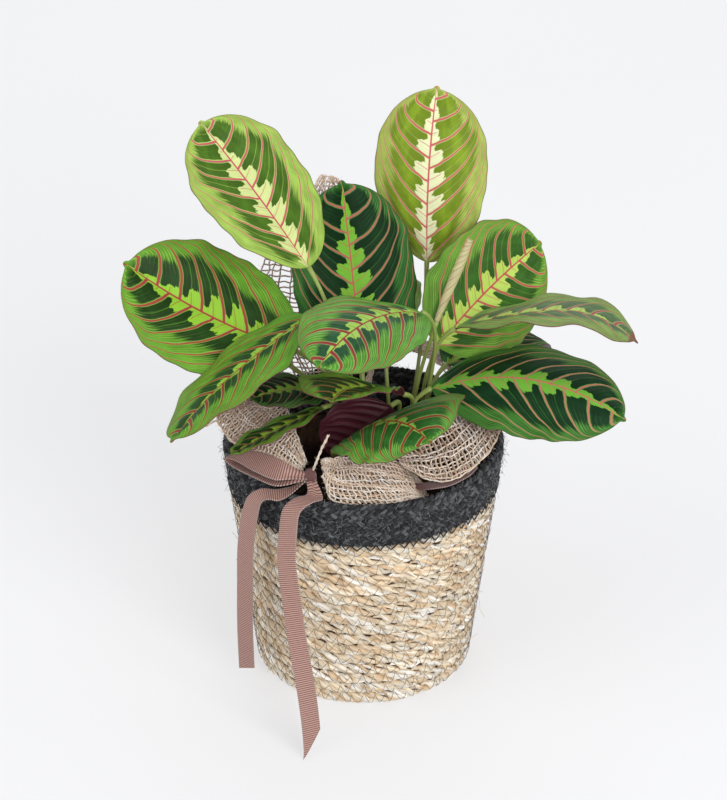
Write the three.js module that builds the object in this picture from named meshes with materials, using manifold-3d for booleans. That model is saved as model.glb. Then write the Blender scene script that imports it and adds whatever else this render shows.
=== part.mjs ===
// A prayer plant (maranta) in a coiled straw basket, dressed with open jute mesh
// and a grosgrain bow. Millimetres, +Z up, the basket stands on z = 0 round the Z axis.
// The plant's front, with the bow, looks along -Y.

import * as THREE from 'three';
import Module from 'manifold-3d';
import { mergeVertices } from 'three/addons/utils/BufferGeometryUtils.js';

const wasm = await Module();
wasm.setup();

// Driving dimensions of the basket
const BASKET_HEIGHT = 152;
const BASKET_TOP_RADIUS = 84;
const BASKET_BASE_RADIUS = 64.5;
const BAND_HEIGHT = 28.5;
const BAND_THICKNESS = 8;
const BAND_PROUD = 1;
const STRAW_WALL = 6;
const COIL_COUNT = 16;
const COIL_RELIEF = 1.2;
const BASKET_FLOOR = 5;
const ROUND_SEGMENTS = 32;

// The nursery pot and its soil
const POT_TOP_RADIUS = 60;
const POT_BASE_RADIUS = 45;
const POT_HEIGHT = 106;
const POT_WALL = 1.5;
const POT_LIP = 3;
const SOIL_DEPTH_BELOW_LIP = 7;
const SOIL_MOUND = 2;

// The plant
const STALK_SIDES = 6;
const STALK_STEPS = 8;
const STALK_TOP_RADIUS = 1.3;
const SHEATH_RADIUS = 2.4;
const SHEATH_SHARE = 0.45;
const STALK_SPREAD = 3;
const STALK_FOOT = 3;
const ROOTSTOCK_RADIUS = 5;
const ROOTSTOCK_DEPTH = 7;
const BLADE_THICKNESS = 0.8;
const BLADE_COLUMNS = 6;
const BLADE_ROWS = 9;
const BLADE_CURL = -15;
const BLADE_END_SHARE = 0.05;

// The jute mesh and the grosgrain ribbon
const MESH_THICKNESS = 1;
const RIBBON_THICKNESS = 0.7;
const RIBBON_WIDTH = 13;

const GAP = 0.3;

const MATERIALS = {
  straw: new THREE.MeshStandardMaterial({ color: 0xd6bd93, roughness: 0.8 }),
  band: new THREE.MeshStandardMaterial({ color: 0x33373b, roughness: 0.95 }),
  pot: new THREE.MeshStandardMaterial({ color: 0x5d3a2a, roughness: 0.5 }),
  soil: new THREE.MeshStandardMaterial({ color: 0x2c2018, roughness: 1 }),
  stalk: new THREE.MeshStandardMaterial({ color: 0x76803a, roughness: 0.5 }),
  young: new THREE.MeshStandardMaterial({ color: 0x86a83c, roughness: 0.45, side: THREE.DoubleSide }),
  middle: new THREE.MeshStandardMaterial({ color: 0x4c8a2c, roughness: 0.45, side: THREE.DoubleSide }),
  old: new THREE.MeshStandardMaterial({ color: 0x214a28, roughness: 0.4, side: THREE.DoubleSide }),
  jute: new THREE.MeshStandardMaterial({ color: 0xcbb89f, roughness: 0.9 }),
  ribbon: new THREE.MeshStandardMaterial({ color: 0x9a7a72, roughness: 0.7 }),
};

// Where the shoots stand in the soil
const SHOOTS = {
  left_shoot: [2, 6],
  back_shoot: [18, 14],
  right_shoot: [34, 4],
  front_shoot: [26, -8],
  low_shoot: [8, -8],
};

// Each leaf: base and tip of its midrib, greatest width, roll of its face round the midrib,
// arch of the midrib towards the upper face, its bow sideways, twist from base to tip, fold
// of the left and right half up from flat, all lengths in mm and angles in degrees; then its
// stalk: shoot, bearing at the soil, lift out of the soil, reach into the blade, upward pull
const LEAVES = {
  leaf_top_left: {
    base: [-32, 14, 257], tip: [-96, 64, 327], width: 70, roll: -14, arch: -1, bow: 2, twist: 22,
    fold: [13, 13], age: 'young', stalk: ['left_shoot', 150, 70, 40, 0.35],
  },
  leaf_top_right: {
    base: [38, 66, 232], tip: [44, 110, 328], width: 70, roll: -6, arch: 10, bow: 0, twist: -22,
    fold: [-3, 0], age: 'young', stalk: ['back_shoot', 0, 60, 50, 0.35],
  },
  leaf_centre: {
    base: [-1, 14, 186], tip: [-13, 74, 283], width: 76, roll: 6, arch: -5, bow: 2, twist: -15,
    fold: [12, 14], age: 'old', stalk: ['back_shoot', 200, 40, 30, 0.35],
  },
  leaf_left: {
    base: [-40, 0, 209], tip: [-141, 31, 251], width: 80, roll: -31, arch: -12, bow: 0, twist: 2,
    fold: [12, 19], age: 'middle', stalk: ['left_shoot', 175, 60, 40, 0.35],
  },
  leaf_left_drooping: {
    base: [-33, -15, 240], tip: [-109, -72, 196], width: 62, roll: 14, arch: 0, bow: 6, twist: -13,
    fold: [5, 3], age: 'middle', stalk: ['left_shoot', 230, 70, 30, 0.35],
  },
  leaf_front: {
    base: [34, -10, 240], tip: [-26, -76, 241], width: 66, roll: -10, arch: 10, bow: 5, twist: 17,
    fold: [1, 0], age: 'middle', stalk: ['front_shoot', 60, 60, 30, 0.35],
  },
  leaf_right: {
    base: [44, 18, 201], tip: [107, 73, 242], width: 76, roll: 56, arch: 1, bow: -3, twist: -16,
    fold: [17, 3], age: 'young', stalk: ['right_shoot', 90, 45, 25, 0.35],
  },
  leaf_far_right: {
    base: [54, 5, 221], tip: [164, -10, 236], width: 52, roll: -9, arch: 8, bow: -1, twist: -13,
    fold: [7, 9], age: 'middle', stalk: ['right_shoot', 0, 50, 30, 0.35],
  },
  leaf_low_right: {
    base: [40, -8, 188], tip: [153, -35, 182], width: 71, roll: 20, arch: 11, bow: -10, twist: -6,
    fold: [-10, -16], age: 'old', stalk: ['front_shoot', 340, 40, 30, 0.35],
  },
  leaf_front_low: {
    base: [23, -24, 193], tip: [-18, -66, 213], width: 59, roll: 10, arch: 4, bow: 11, twist: 7,
    fold: [15, 14], age: 'middle', stalk: ['front_shoot', 200, 50, 16, -0.1],
  },
  leaf_over_rim: {
    base: [-17, -43, 167], tip: [38, -89, 200], width: 70, roll: -7, arch: 13, bow: -8, twist: -30,
    fold: [8, -19], age: 'middle', stalk: ['low_shoot', 250, 34, 10, 0.35],
  },
  leaf_small_left: {
    base: [-24, -27, 186], tip: [-77, -63, 176], width: 26, roll: 13, arch: 1, bow: 0, twist: 6,
    fold: [11, 7], age: 'middle', stalk: ['left_shoot', 215, 50, 22, 0.35],
  },
  leaf_turned_over: {
    base: [16, -19, 182], tip: [-16, -26, 150], width: 42, roll: 90, arch: 0, bow: 0, twist: 0,
    fold: [5, 5], age: 'old', stalk: ['low_shoot', 350, 70, 12, 0.3],
  },
  leaf_shaded_left: {
    base: [-22, -14, 190], tip: [-66, -34, 196], width: 40, roll: 0, arch: 4, bow: 0, twist: 0,
    fold: [5, 5], age: 'old', stalk: ['left_shoot', 230, 45, 18, 0.35],
  },
  leaf_back_right: {
    base: [50, 34, 180], tip: [114, 92, 178], width: 54, roll: 0, arch: 6, bow: 0, twist: 0,
    fold: [5, 5], age: 'old', stalk: ['right_shoot', 60, 40, 25, 0.35],
  },
  leaf_back_left: {
    base: [-44, 22, 186], tip: [-122, 60, 190], width: 54, roll: 0, arch: 6, bow: 0, twist: 0,
    fold: [5, 5], age: 'old', stalk: ['left_shoot', 120, 50, 30, 0.35],
  },
  leaf_back: {
    base: [14, 36, 194], tip: [20, 112, 202], width: 36, roll: 0, arch: 6, bow: 0, twist: 0,
    fold: [5, 5], age: 'middle', stalk: ['back_shoot', 90, 40, 30, 0.35],
  },
};

// The unopened leaf, still rolled up on its stalk
const ROLLED_LEAF = {
  base: [43, 10, 223],
  tip: [62, 20, 272],
  radius: 3.2,
  stalk: ['right_shoot', 150, 60, 30, 0.35],
};

// Each strip: its two edges, station by station, outer edge first
const MESH_STRIPS = {
  mesh_left_loop: [
    [[-37, -59, 161], [-34, -52, 167]], [[-48, -55, 165], [-39, -37, 174]],
    [[-63, -48, 168], [-42, -23, 176]], [[-78, -27, 165], [-48, -12, 179]],
    [[-87, 0, 164], [-56, 0, 177]], [[-80, 15, 160], [-56, 12, 168]], [[-70, 20.5, 144], [-54, 19, 148]],
  ],
  mesh_front_loop: [
    [[-23, -62, 158], [-24, -54, 167]], [[-19, -72.5, 152.5], [-12, -52, 167]],
    [[-2, -76.2, 151], [2, -50, 167]], [[15, -74.4, 150.6], [14, -48, 163]],
    [[25, -64, 147], [23, -46, 153]], [[30, -56, 138], [26, -42, 144]],
  ],
  mesh_right_loop: [
    [[24, -53, 161], [14, -38, 167]], [[35, -62, 161], [28, -30, 175]],
    [[49, -61, 159], [40, -22, 178]], [[64, -50, 160], [50, -12, 178]],
    [[77, -29, 164], [58, 0, 176]], [[81, -8, 165], [62, 10, 172]],
    [[77, 10, 160], [58, 18, 162]], [[71.3, 22, 143.5], [54, 21.5, 147]],
  ],
  mesh_back_right: [
    [[62, 32, 144], [52, 30, 148]], [[79, 42, 164], [50, 36, 172]],
    [[67, 64, 168], [40, 48, 176]], [[44, 80, 168], [26, 56, 177]],
    [[22, 86, 165], [10, 56, 171]], [[8, 77, 162], [4, 56, 162]], [[4, 64, 146], [0, 52, 148]],
  ],
  mesh_back_left: [
    [[-66, 29, 145.5], [-54, 26, 148]], [[-84, 30, 164], [-60, 28, 173]],
    [[-99, 40, 171], [-66, 38, 180]], [[-84, 58, 169], [-58, 48, 178]],
    [[-62, 60, 164], [-48, 48, 165]], [[-48, 46, 146], [-40, 40, 148]],
  ],
  mesh_back_tail: [
    [[-38.6, 63.3, 146], [-10, 66, 146]], [[-58, 68, 190], [-6, 72, 188]],
    [[-63, 68, 218], [-6, 78, 222]], [[-52, 74, 246], [-8, 82, 256]], [[-25, 84, 281], [-16, 85, 279]],
  ],
};

const BOW_LOOPS = {
  bow_left_loop: [
    [[-36, -70, 161.5], [-35, -61, 169]], [[-50, -72, 164], [-44, -63, 171]],
    [[-64, -60, 163], [-56, -54, 171]], [[-76, -45, 161], [-68, -45, 168]],
    [[-82, -40, 159], [-73, -37, 163]], [[-77, -45, 157], [-69, -36, 158]],
    [[-65, -58, 158], [-57, -48, 158.5]], [[-50, -69, 158], [-43, -58, 160]],
    [[-37, -69, 158], [-35, -58, 160]],
  ],
  bow_right_loop: [
    [[31, -59, 147.7], [27, -49, 149.7]], [[38, -67, 154.7], [34, -57, 152.7]],
    [[50, -63, 154.7], [44, -53, 152.7]], [[62, -52, 154.7], [54, -43, 152.7]],
    [[69, -40, 152.7], [60, -33, 150.7]],
  ],
};

// Each tail: centre of the ribbon and the way its width runs, from the knot to the cut end
const BOW_TAILS = {
  tail_short: [
    [[-33, -61.5, 154.4], [0, -1, 0]], [[-43, -66, 152.7], [0, -1, 0]], [[-50, -70, 152.8], [0.1, -1, -0.1]],
    [[-57, -69, 152.8], [0.3, -0.9, -0.1]], [[-62.5, -67, 148.5], [0.55, -0.8, 0]],
    [[-66, -64, 136], [0.65, -0.75, 0]], [[-69, -62, 112], [0.65, -0.75, 0]],
    [[-70, -60, 82], [0.65, -0.75, 0]], [[-70.5, -59, 52], [0.65, -0.75, 0]], [[-70, -58, 24], [0.65, -0.75, 0]],
  ],
  tail_long: [
    [[-24, -66, 148.2], [1, -0.2, 0]], [[-27, -72.5, 152.3], [1, -0.4, 0]], [[-34, -78.5, 154.8], [0.9, -0.5, 0]],
    [[-41, -83, 151], [0.85, -0.45, 0]], [[-43.5, -85, 137], [0.85, -0.35, 0]],
    [[-44.5, -87, 118], [0.9, -0.25, 0]], [[-42, -91, 95], [0.95, -0.1, 0]],
    [[-38.5, -97, 68], [0.97, 0.1, 0]], [[-34, -104, 42], [0.95, 0.25, 0]],
    [[-31, -111, 19], [0.92, 0.36, 0]], [[-29.5, -115, 2], [0.92, 0.39, 0]],
  ],
};

const BOW_KNOT = { centre: [-31, -62, 160.3], radii: [4.5, 3.5, 5.5] };

const radians = THREE.MathUtils.degToRad;
const vector = (point) => new THREE.Vector3(...point);

// Height of the basket's outside, as a radius
function basketRadius(z) {
  return BASKET_BASE_RADIUS + (BASKET_TOP_RADIUS - BASKET_BASE_RADIUS) * z / BASKET_HEIGHT;
}

// A closed geometry as a solid, for cutting and joining
function toSolid(geometry) {
  const bare = geometry.clone();
  bare.deleteAttribute('normal');
  bare.deleteAttribute('uv');
  const merged = mergeVertices(bare, 1e-4);
  return new wasm.Manifold(new wasm.Mesh({
    numProp: 3,
    vertProperties: new Float32Array(merged.attributes.position.array),
    triVerts: new Uint32Array(merged.index.array),
  }));
}

function fromSolid(solid) {
  const result = solid.getMesh();
  const geometry = new THREE.BufferGeometry();
  geometry.setAttribute('position', new THREE.BufferAttribute(result.vertProperties, 3));
  geometry.setIndex(new THREE.BufferAttribute(result.triVerts, 1));
  geometry.computeVertexNormals();
  return geometry;
}

function indexedGeometry(points, faces) {
  const geometry = new THREE.BufferGeometry();
  geometry.setFromPoints(points);
  geometry.setIndex(faces);
  geometry.computeVertexNormals();
  return geometry;
}

// A thin closed plate on a grid of points, half the thickness to each side of it
function plate(grid, thickness) {
  const rows = grid.length;
  const columns = grid[0].length;
  const points = [];
  const normals = grid.map((row, i) => row.map((point, j) => {
    const along = grid[Math.min(i + 1, rows - 1)][j].clone().sub(grid[Math.max(i - 1, 0)][j]);
    const across = row[Math.min(j + 1, columns - 1)].clone().sub(row[Math.max(j - 1, 0)]);
    return across.cross(along).normalize();
  }));
  for (const side of [1, -1]) {
    grid.forEach((row, i) => row.forEach((point, j) => {
      points.push(point.clone().addScaledVector(normals[i][j], side * thickness / 2));
    }));
  }
  const under = rows * columns;
  const at = (i, j) => i * columns + j;
  const faces = [];
  for (let i = 0; i < rows - 1; i += 1) {
    for (let j = 0; j < columns - 1; j += 1) {
      const [a, b, c, d] = [at(i, j), at(i, j + 1), at(i + 1, j + 1), at(i + 1, j)];
      faces.push(a, b, c, a, c, d);
      faces.push(under + a, under + c, under + b, under + a, under + d, under + c);
    }
  }
  const rim = [];
  for (let j = 0; j < columns - 1; j += 1) rim.push(at(0, j));
  for (let i = 0; i < rows - 1; i += 1) rim.push(at(i, columns - 1));
  for (let j = columns - 1; j > 0; j -= 1) rim.push(at(rows - 1, j));
  for (let i = rows - 1; i > 0; i -= 1) rim.push(at(i, 0));
  rim.forEach((p, k) => {
    const q = rim[(k + 1) % rim.length];
    faces.push(p, under + p, under + q, p, under + q, q);
  });
  return indexedGeometry(points, faces);
}

// A round bar of changing radius along a curve, closed at both ends
function bar(curve, radiusAt, sides, steps) {
  const frames = curve.computeFrenetFrames(steps, false);
  const points = [];
  for (let i = 0; i <= steps; i += 1) {
    const centre = curve.getPointAt(i / steps);
    for (let k = 0; k < sides; k += 1) {
      const angle = 2 * Math.PI * k / sides;
      points.push(centre.clone()
        .addScaledVector(frames.normals[i], radiusAt(i / steps) * Math.cos(angle))
        .addScaledVector(frames.binormals[i], radiusAt(i / steps) * Math.sin(angle)));
    }
  }
  const faces = [];
  for (let i = 0; i < steps; i += 1) {
    for (let k = 0; k < sides; k += 1) {
      const [a, b] = [i * sides + k, i * sides + (k + 1) % sides];
      faces.push(a, b, b + sides, a, b + sides, a + sides);
    }
  }
  const last = steps * sides;
  for (let k = 1; k < sides - 1; k += 1) {
    faces.push(0, k + 1, k);
    faces.push(last, last + k, last + k + 1);
  }
  return indexedGeometry(points, faces);
}

function lathe(profile, segments) {
  const geometry = new THREE.LatheGeometry(profile.map(([r, z]) => new THREE.Vector2(r, z)), segments);
  return geometry.rotateX(Math.PI / 2);
}

// Straw wall of coiled rope: one round ridge a coil outside, plain inside
function strawBasket() {
  const top = BASKET_HEIGHT - BAND_HEIGHT;
  const coil = top / COIL_COUNT;
  const profile = [[0, 0], [BASKET_BASE_RADIUS - 3, 0]];
  for (let i = 0; i < COIL_COUNT; i += 1) {
    const [low, middle] = [i * coil, (i + 0.5) * coil];
    if (i > 0) profile.push([basketRadius(low) - COIL_RELIEF, low]);
    profile.push([basketRadius(middle), middle]);
  }
  profile.push([basketRadius(top) - COIL_RELIEF, top]);
  profile.push([basketRadius(top) - STRAW_WALL, top]);
  profile.push([BASKET_BASE_RADIUS - STRAW_WALL, BASKET_FLOOR]);
  profile.push([0, BASKET_FLOOR]);
  return lathe(profile, ROUND_SEGMENTS);
}

// Plaited band sewn round the top, rolled over at the rim
function rimBand() {
  const low = BASKET_HEIGHT - BAND_HEIGHT + GAP;
  const outer = basketRadius(low) + BAND_PROUD;
  const roll = BAND_THICKNESS / 2;
  const crown = BASKET_HEIGHT - roll;
  const profile = [[outer - BAND_THICKNESS, low], [outer, low], [BASKET_TOP_RADIUS, crown]];
  for (const angle of [30, 60, 90, 120, 150]) {
    const turn = radians(angle);
    profile.push([BASKET_TOP_RADIUS - roll + roll * Math.cos(turn), crown + roll * Math.sin(turn)]);
  }
  profile.push([BASKET_TOP_RADIUS - BAND_THICKNESS, crown], [outer - BAND_THICKNESS, low]);
  return lathe(profile, ROUND_SEGMENTS);
}

const potFloor = BASKET_FLOOR + GAP;
const potTop = potFloor + POT_HEIGHT;
const soilTop = potTop - SOIL_DEPTH_BELOW_LIP;

function nurseryPot() {
  return lathe([
    [0, potFloor], [POT_BASE_RADIUS, potFloor], [POT_TOP_RADIUS, potTop - POT_LIP],
    [POT_TOP_RADIUS + POT_LIP, potTop - POT_LIP], [POT_TOP_RADIUS + POT_LIP, potTop],
    [POT_TOP_RADIUS - POT_WALL, potTop], [POT_BASE_RADIUS - POT_WALL, potFloor + POT_WALL],
    [0, potFloor + POT_WALL],
  ], ROUND_SEGMENTS);
}

// Soil, mounded a little, with a plain round hole for the rootstock of each shoot
function soil() {
  const low = potFloor + POT_WALL + GAP;
  const inside = (z) => POT_BASE_RADIUS - POT_WALL - GAP
    + (POT_TOP_RADIUS - POT_BASE_RADIUS) * (z - potFloor - POT_WALL) / (POT_HEIGHT - POT_WALL);
  let solid = toSolid(lathe([
    [0, low], [inside(low) - GAP, low], [inside(soilTop) - GAP, soilTop],
    [POT_TOP_RADIUS * 0.6, soilTop + SOIL_MOUND * 0.6], [0, soilTop + SOIL_MOUND],
  ], ROUND_SEGMENTS));
  for (const [x, y] of Object.values(SHOOTS)) {
    const hole = new THREE.CylinderGeometry(ROOTSTOCK_RADIUS + GAP, ROOTSTOCK_RADIUS + GAP, 40, 10);
    hole.rotateX(Math.PI / 2);
    hole.translate(x, y, soilTop - ROOTSTOCK_DEPTH + 20);
    solid = solid.subtract(toSolid(hole));
  }
  return fromSolid(solid);
}

// Share of the greatest width at a place along the midrib, 0 at the base to 1 at the tip
function bladeOutline(s) {
  const oval = (1 - Math.abs(2 * s ** 1.08 - 1) ** 2.2) ** 0.53;
  return Math.max(oval || 0, BLADE_END_SHARE);
}

// A point of a blade: s from base to tip, t from the left margin at -1 to the right at 1
function bladePoint(leaf, s, t) {
  const base = vector(leaf.base);
  const chord = vector(leaf.tip).sub(base);
  const length = chord.length();
  const ahead = chord.clone().normalize();
  const up = new THREE.Vector3(0, 0, 1);
  const level = up.addScaledVector(ahead, -ahead.z).normalize();
  const aside = ahead.clone().cross(level);
  const roll = radians(leaf.roll);
  const face = level.clone().multiplyScalar(Math.cos(roll)).addScaledVector(aside, Math.sin(roll));
  const right = ahead.clone().cross(face);
  const hump = 4 * s * (1 - s);
  const slope = 4 * (1 - 2 * s);
  const middle = base.addScaledVector(ahead, s * length)
    .addScaledVector(face, hump * leaf.arch).addScaledVector(right, hump * leaf.bow);
  const tangent = ahead.clone().multiplyScalar(length)
    .addScaledVector(face, slope * leaf.arch).addScaledVector(right, slope * leaf.bow).normalize();
  const across = right.clone().addScaledVector(tangent, -tangent.dot(right)).normalize();
  const out = across.clone().cross(tangent);
  const twist = radians(leaf.twist) * (s - 0.5);
  const turnedAcross = across.clone().multiplyScalar(Math.cos(twist)).addScaledVector(out, Math.sin(twist));
  const turnedOut = out.clone().multiplyScalar(Math.cos(twist)).addScaledVector(across, -Math.sin(twist));
  const side = t < 0 ? -1 : 1;
  const reach = Math.abs(t);
  const half = leaf.width / 2 * bladeOutline(s);
  const fold = radians(leaf.fold[t < 0 ? 0 : 1]);
  const curl = radians(BLADE_CURL);
  const x = half * (Math.sin(fold + curl * reach) - Math.sin(fold)) / curl;
  const wave = reach ** 2 * Math.sin(2 * Math.PI * (3 * s + 0.15 * side)) * Math.min(1, 1.5 * bladeOutline(s));
  const z = half * (Math.cos(fold) - Math.cos(fold + curl * reach)) / curl + wave;
  return middle.addScaledVector(turnedAcross, side * x).addScaledVector(turnedOut, z);
}

function blade(leaf) {
  const grid = [];
  for (let i = 0; i <= BLADE_ROWS; i += 1) {
    const s = 0.5 - 0.5 * Math.cos(Math.PI * i / BLADE_ROWS);
    const row = [];
    for (let j = 0; j <= BLADE_COLUMNS; j += 1) row.push(bladePoint(leaf, s, 2 * j / BLADE_COLUMNS - 1));
    grid.push(row);
  }
  return plate(grid, BLADE_THICKNESS);
}

// The way a stalk runs, from its shoot to just short of the blade's base
function stalkCurve([shoot, bearing, lift, reach, pull], end, ahead) {
  const [x, y] = SHOOTS[shoot];
  const turn = radians(bearing);
  const foot = new THREE.Vector3(
    x + STALK_SPREAD * Math.cos(turn), y + STALK_SPREAD * Math.sin(turn), soilTop + STALK_FOOT,
  );
  const stop = end.clone().addScaledVector(ahead, -1.5 * GAP);
  const rise = foot.clone().add(new THREE.Vector3(0.15 * Math.cos(turn), 0.15 * Math.sin(turn), 1)
    .multiplyScalar(lift));
  const entry = ahead.clone().add(new THREE.Vector3(0, 0, pull)).normalize();
  return new THREE.CubicBezierCurve3(foot, rise, stop.clone().addScaledVector(entry, -reach), stop);
}

// A stalk is wide where its sheath wraps the shoot, slim above
function stalkRadius(share) {
  return share < SHEATH_SHARE
    ? SHEATH_RADIUS + (STALK_TOP_RADIUS - SHEATH_RADIUS) * (share / SHEATH_SHARE) ** 2
    : STALK_TOP_RADIUS;
}

function shoot(name) {
  const [x, y] = SHOOTS[name];
  const stock = new THREE.SphereGeometry(ROOTSTOCK_RADIUS, 10, 6);
  stock.rotateX(Math.PI / 2);
  stock.scale(1, 1, ROOTSTOCK_DEPTH / ROOTSTOCK_RADIUS);
  stock.translate(x, y, soilTop + GAP);
  let solid = toSolid(stock);
  for (const leaf of [...Object.values(LEAVES), ROLLED_LEAF]) {
    if (leaf.stalk[0] === name) {
      const end = vector(leaf.base);
      const next = leaf === ROLLED_LEAF ? vector(leaf.tip) : bladePoint(leaf, 0.04, 0);
      const curve = stalkCurve(leaf.stalk, end, next.sub(end).normalize());
      solid = solid.add(toSolid(bar(curve, stalkRadius, STALK_SIDES, STALK_STEPS)));
    }
  }
  return fromSolid(solid);
}

// The rolled leaf: a slim spindle, widest at its middle
function rolledLeaf() {
  const curve = new THREE.LineCurve3(vector(ROLLED_LEAF.base), vector(ROLLED_LEAF.tip));
  const radiusAt = (share) => ROLLED_LEAF.radius * (0.35 + 0.65 * Math.sin(Math.PI * (0.08 + 0.84 * share)));
  return bar(curve, radiusAt, 8, 8);
}

// A strip between two edge curves through its stations
function strip(stations, thickness, steps, columns) {
  const edges = [0, 1].map((side) => new THREE.CatmullRomCurve3(stations.map((pair) => vector(pair[side]))));
  const grid = [];
  for (let i = 0; i <= steps; i += 1) {
    const [outer, inner] = edges.map((edge) => edge.getPoint(i / steps));
    const row = [];
    for (let j = 0; j <= columns; j += 1) row.push(outer.clone().lerp(inner, j / columns));
    grid.push(row);
  }
  return plate(grid, thickness);
}

function tailStations(rows) {
  return rows.map(([centre, way]) => {
    const half = vector(way).normalize().multiplyScalar(RIBBON_WIDTH / 2);
    return [vector(centre).sub(half).toArray(), vector(centre).add(half).toArray()];
  });
}

function bowKnot() {
  const knot = new THREE.SphereGeometry(1, 10, 8);
  knot.scale(...BOW_KNOT.radii);
  knot.translate(...BOW_KNOT.centre);
  return knot;
}

const plant = new THREE.Group();

function place(name, geometry, material) {
  const part = new THREE.Mesh(geometry, material);
  part.name = name;
  plant.add(part);
}

place('straw_basket', strawBasket(), MATERIALS.straw);
place('rim_band', rimBand(), MATERIALS.band);
place('nursery_pot', nurseryPot(), MATERIALS.pot);
place('soil', soil(), MATERIALS.soil);

for (const name of Object.keys(SHOOTS)) place(name, shoot(name), MATERIALS.stalk);
for (const [name, leaf] of Object.entries(LEAVES)) place(name, blade(leaf), MATERIALS[leaf.age]);
place('rolled_leaf', rolledLeaf(), MATERIALS.young);

for (const [name, stations] of Object.entries(MESH_STRIPS)) {
  place(name, strip(stations, MESH_THICKNESS, 12, 3), MATERIALS.jute);
}
for (const [name, stations] of Object.entries(BOW_LOOPS)) {
  place(name, strip(stations, RIBBON_THICKNESS, 3 * stations.length, 2), MATERIALS.ribbon);
}
for (const [name, rows] of Object.entries(BOW_TAILS)) {
  place(name, strip(tailStations(rows), RIBBON_THICKNESS, 2 * rows.length, 2), MATERIALS.ribbon);
}
place('bow_knot', bowKnot(), MATERIALS.ribbon);

export default plant;
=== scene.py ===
"""Looks of a prayer plant in a coiled straw basket, dressed with jute mesh and a ribbon bow.

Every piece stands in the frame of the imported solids: +Z up, the basket on z = 0, the bow
towards -Y. The tables of leaves, strips and ribbon are in millimetres, as in the part's source.
"""

import logging
from collections.abc import Sequence
from dataclasses import dataclass
from enum import Enum

import bpy
import numpy as np
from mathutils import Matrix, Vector


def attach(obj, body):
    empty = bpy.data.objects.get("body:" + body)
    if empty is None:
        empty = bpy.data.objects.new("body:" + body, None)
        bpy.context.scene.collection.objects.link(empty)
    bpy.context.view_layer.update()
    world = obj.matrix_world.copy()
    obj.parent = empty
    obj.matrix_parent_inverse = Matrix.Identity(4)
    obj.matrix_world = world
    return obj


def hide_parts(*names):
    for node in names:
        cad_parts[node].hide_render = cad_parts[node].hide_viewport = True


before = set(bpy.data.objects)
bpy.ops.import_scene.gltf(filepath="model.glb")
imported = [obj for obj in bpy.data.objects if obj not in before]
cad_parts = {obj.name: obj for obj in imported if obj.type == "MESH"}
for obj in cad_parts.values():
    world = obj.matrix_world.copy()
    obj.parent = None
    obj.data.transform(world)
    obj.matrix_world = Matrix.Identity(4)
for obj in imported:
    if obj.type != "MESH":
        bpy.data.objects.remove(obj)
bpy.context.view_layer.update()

MM = 0.001
TURN = 6.28318
THIRD_TURN = 2.0944
BODY = "root"
RIM = "rim_plaits"
LOG = logging.getLogger("plant")

Colour = tuple[float, float, float]
Point = tuple[float, float, float]
Edges = tuple[tuple[Point, Point], ...]
Profile = Sequence[tuple[float, float]]
Shell = tuple[np.ndarray, list, np.ndarray]


def paint(red: int, green: int, blue: int) -> Colour:
    """A colour named by its 0 to 255 screen values, as the linear values that nodes take."""
    return tuple(
        c / 12.92 if c <= 0.04045 else ((c + 0.055) / 1.055) ** 2.4
        for c in (red / 255, green / 255, blue / 255)
    )


def scaled(colour: Colour, share: float) -> Colour:
    """The colour, darker for a share below 1 and lighter above it."""
    return tuple(share * c for c in colour)


def unit(vectors: np.ndarray) -> np.ndarray:
    """The same vectors, one long each."""
    return vectors / np.maximum(np.linalg.norm(vectors, axis=-1, keepdims=True), 1e-9)


def smoothed(points: np.ndarray, count: int) -> np.ndarray:
    """A smooth curve through points, evenly spread by length.

    Args:
        points: the points that the curve passes, in order.
        count: how many points the curve gets.

    Returns:
        The points of the curve.
    """
    ends = [2 * points[0] - points[1], *points, 2 * points[-1] - points[-2]]
    fine = []
    for a, b, c, d in zip(ends, ends[1:], ends[2:], ends[3:]):
        steps = [max(np.linalg.norm(q - p) ** 0.5, 1e-4) for p, q in ((a, b), (b, c), (c, d))]
        leave = ((b - a) / steps[0] - (c - a) / (steps[0] + steps[1]) + (c - b) / steps[1]) * steps[1]
        reach = ((c - b) / steps[1] - (d - b) / (steps[1] + steps[2]) + (d - c) / steps[2]) * steps[1]
        square, cube = 3 * (c - b) - 2 * leave - reach, 2 * (b - c) + leave + reach
        fine += [b + leave * k + square * k**2 + cube * k**3 for k in np.linspace(0, 1, 24, endpoint=False)]
    fine = np.array([*fine, points[-1]])
    run = np.concatenate([[0], np.cumsum(np.linalg.norm(np.diff(fine, axis=0), axis=1))])
    at = np.linspace(0, run[-1], count)
    return np.stack([np.interp(at, run, fine[:, k]) for k in range(3)], axis=1)


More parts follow.
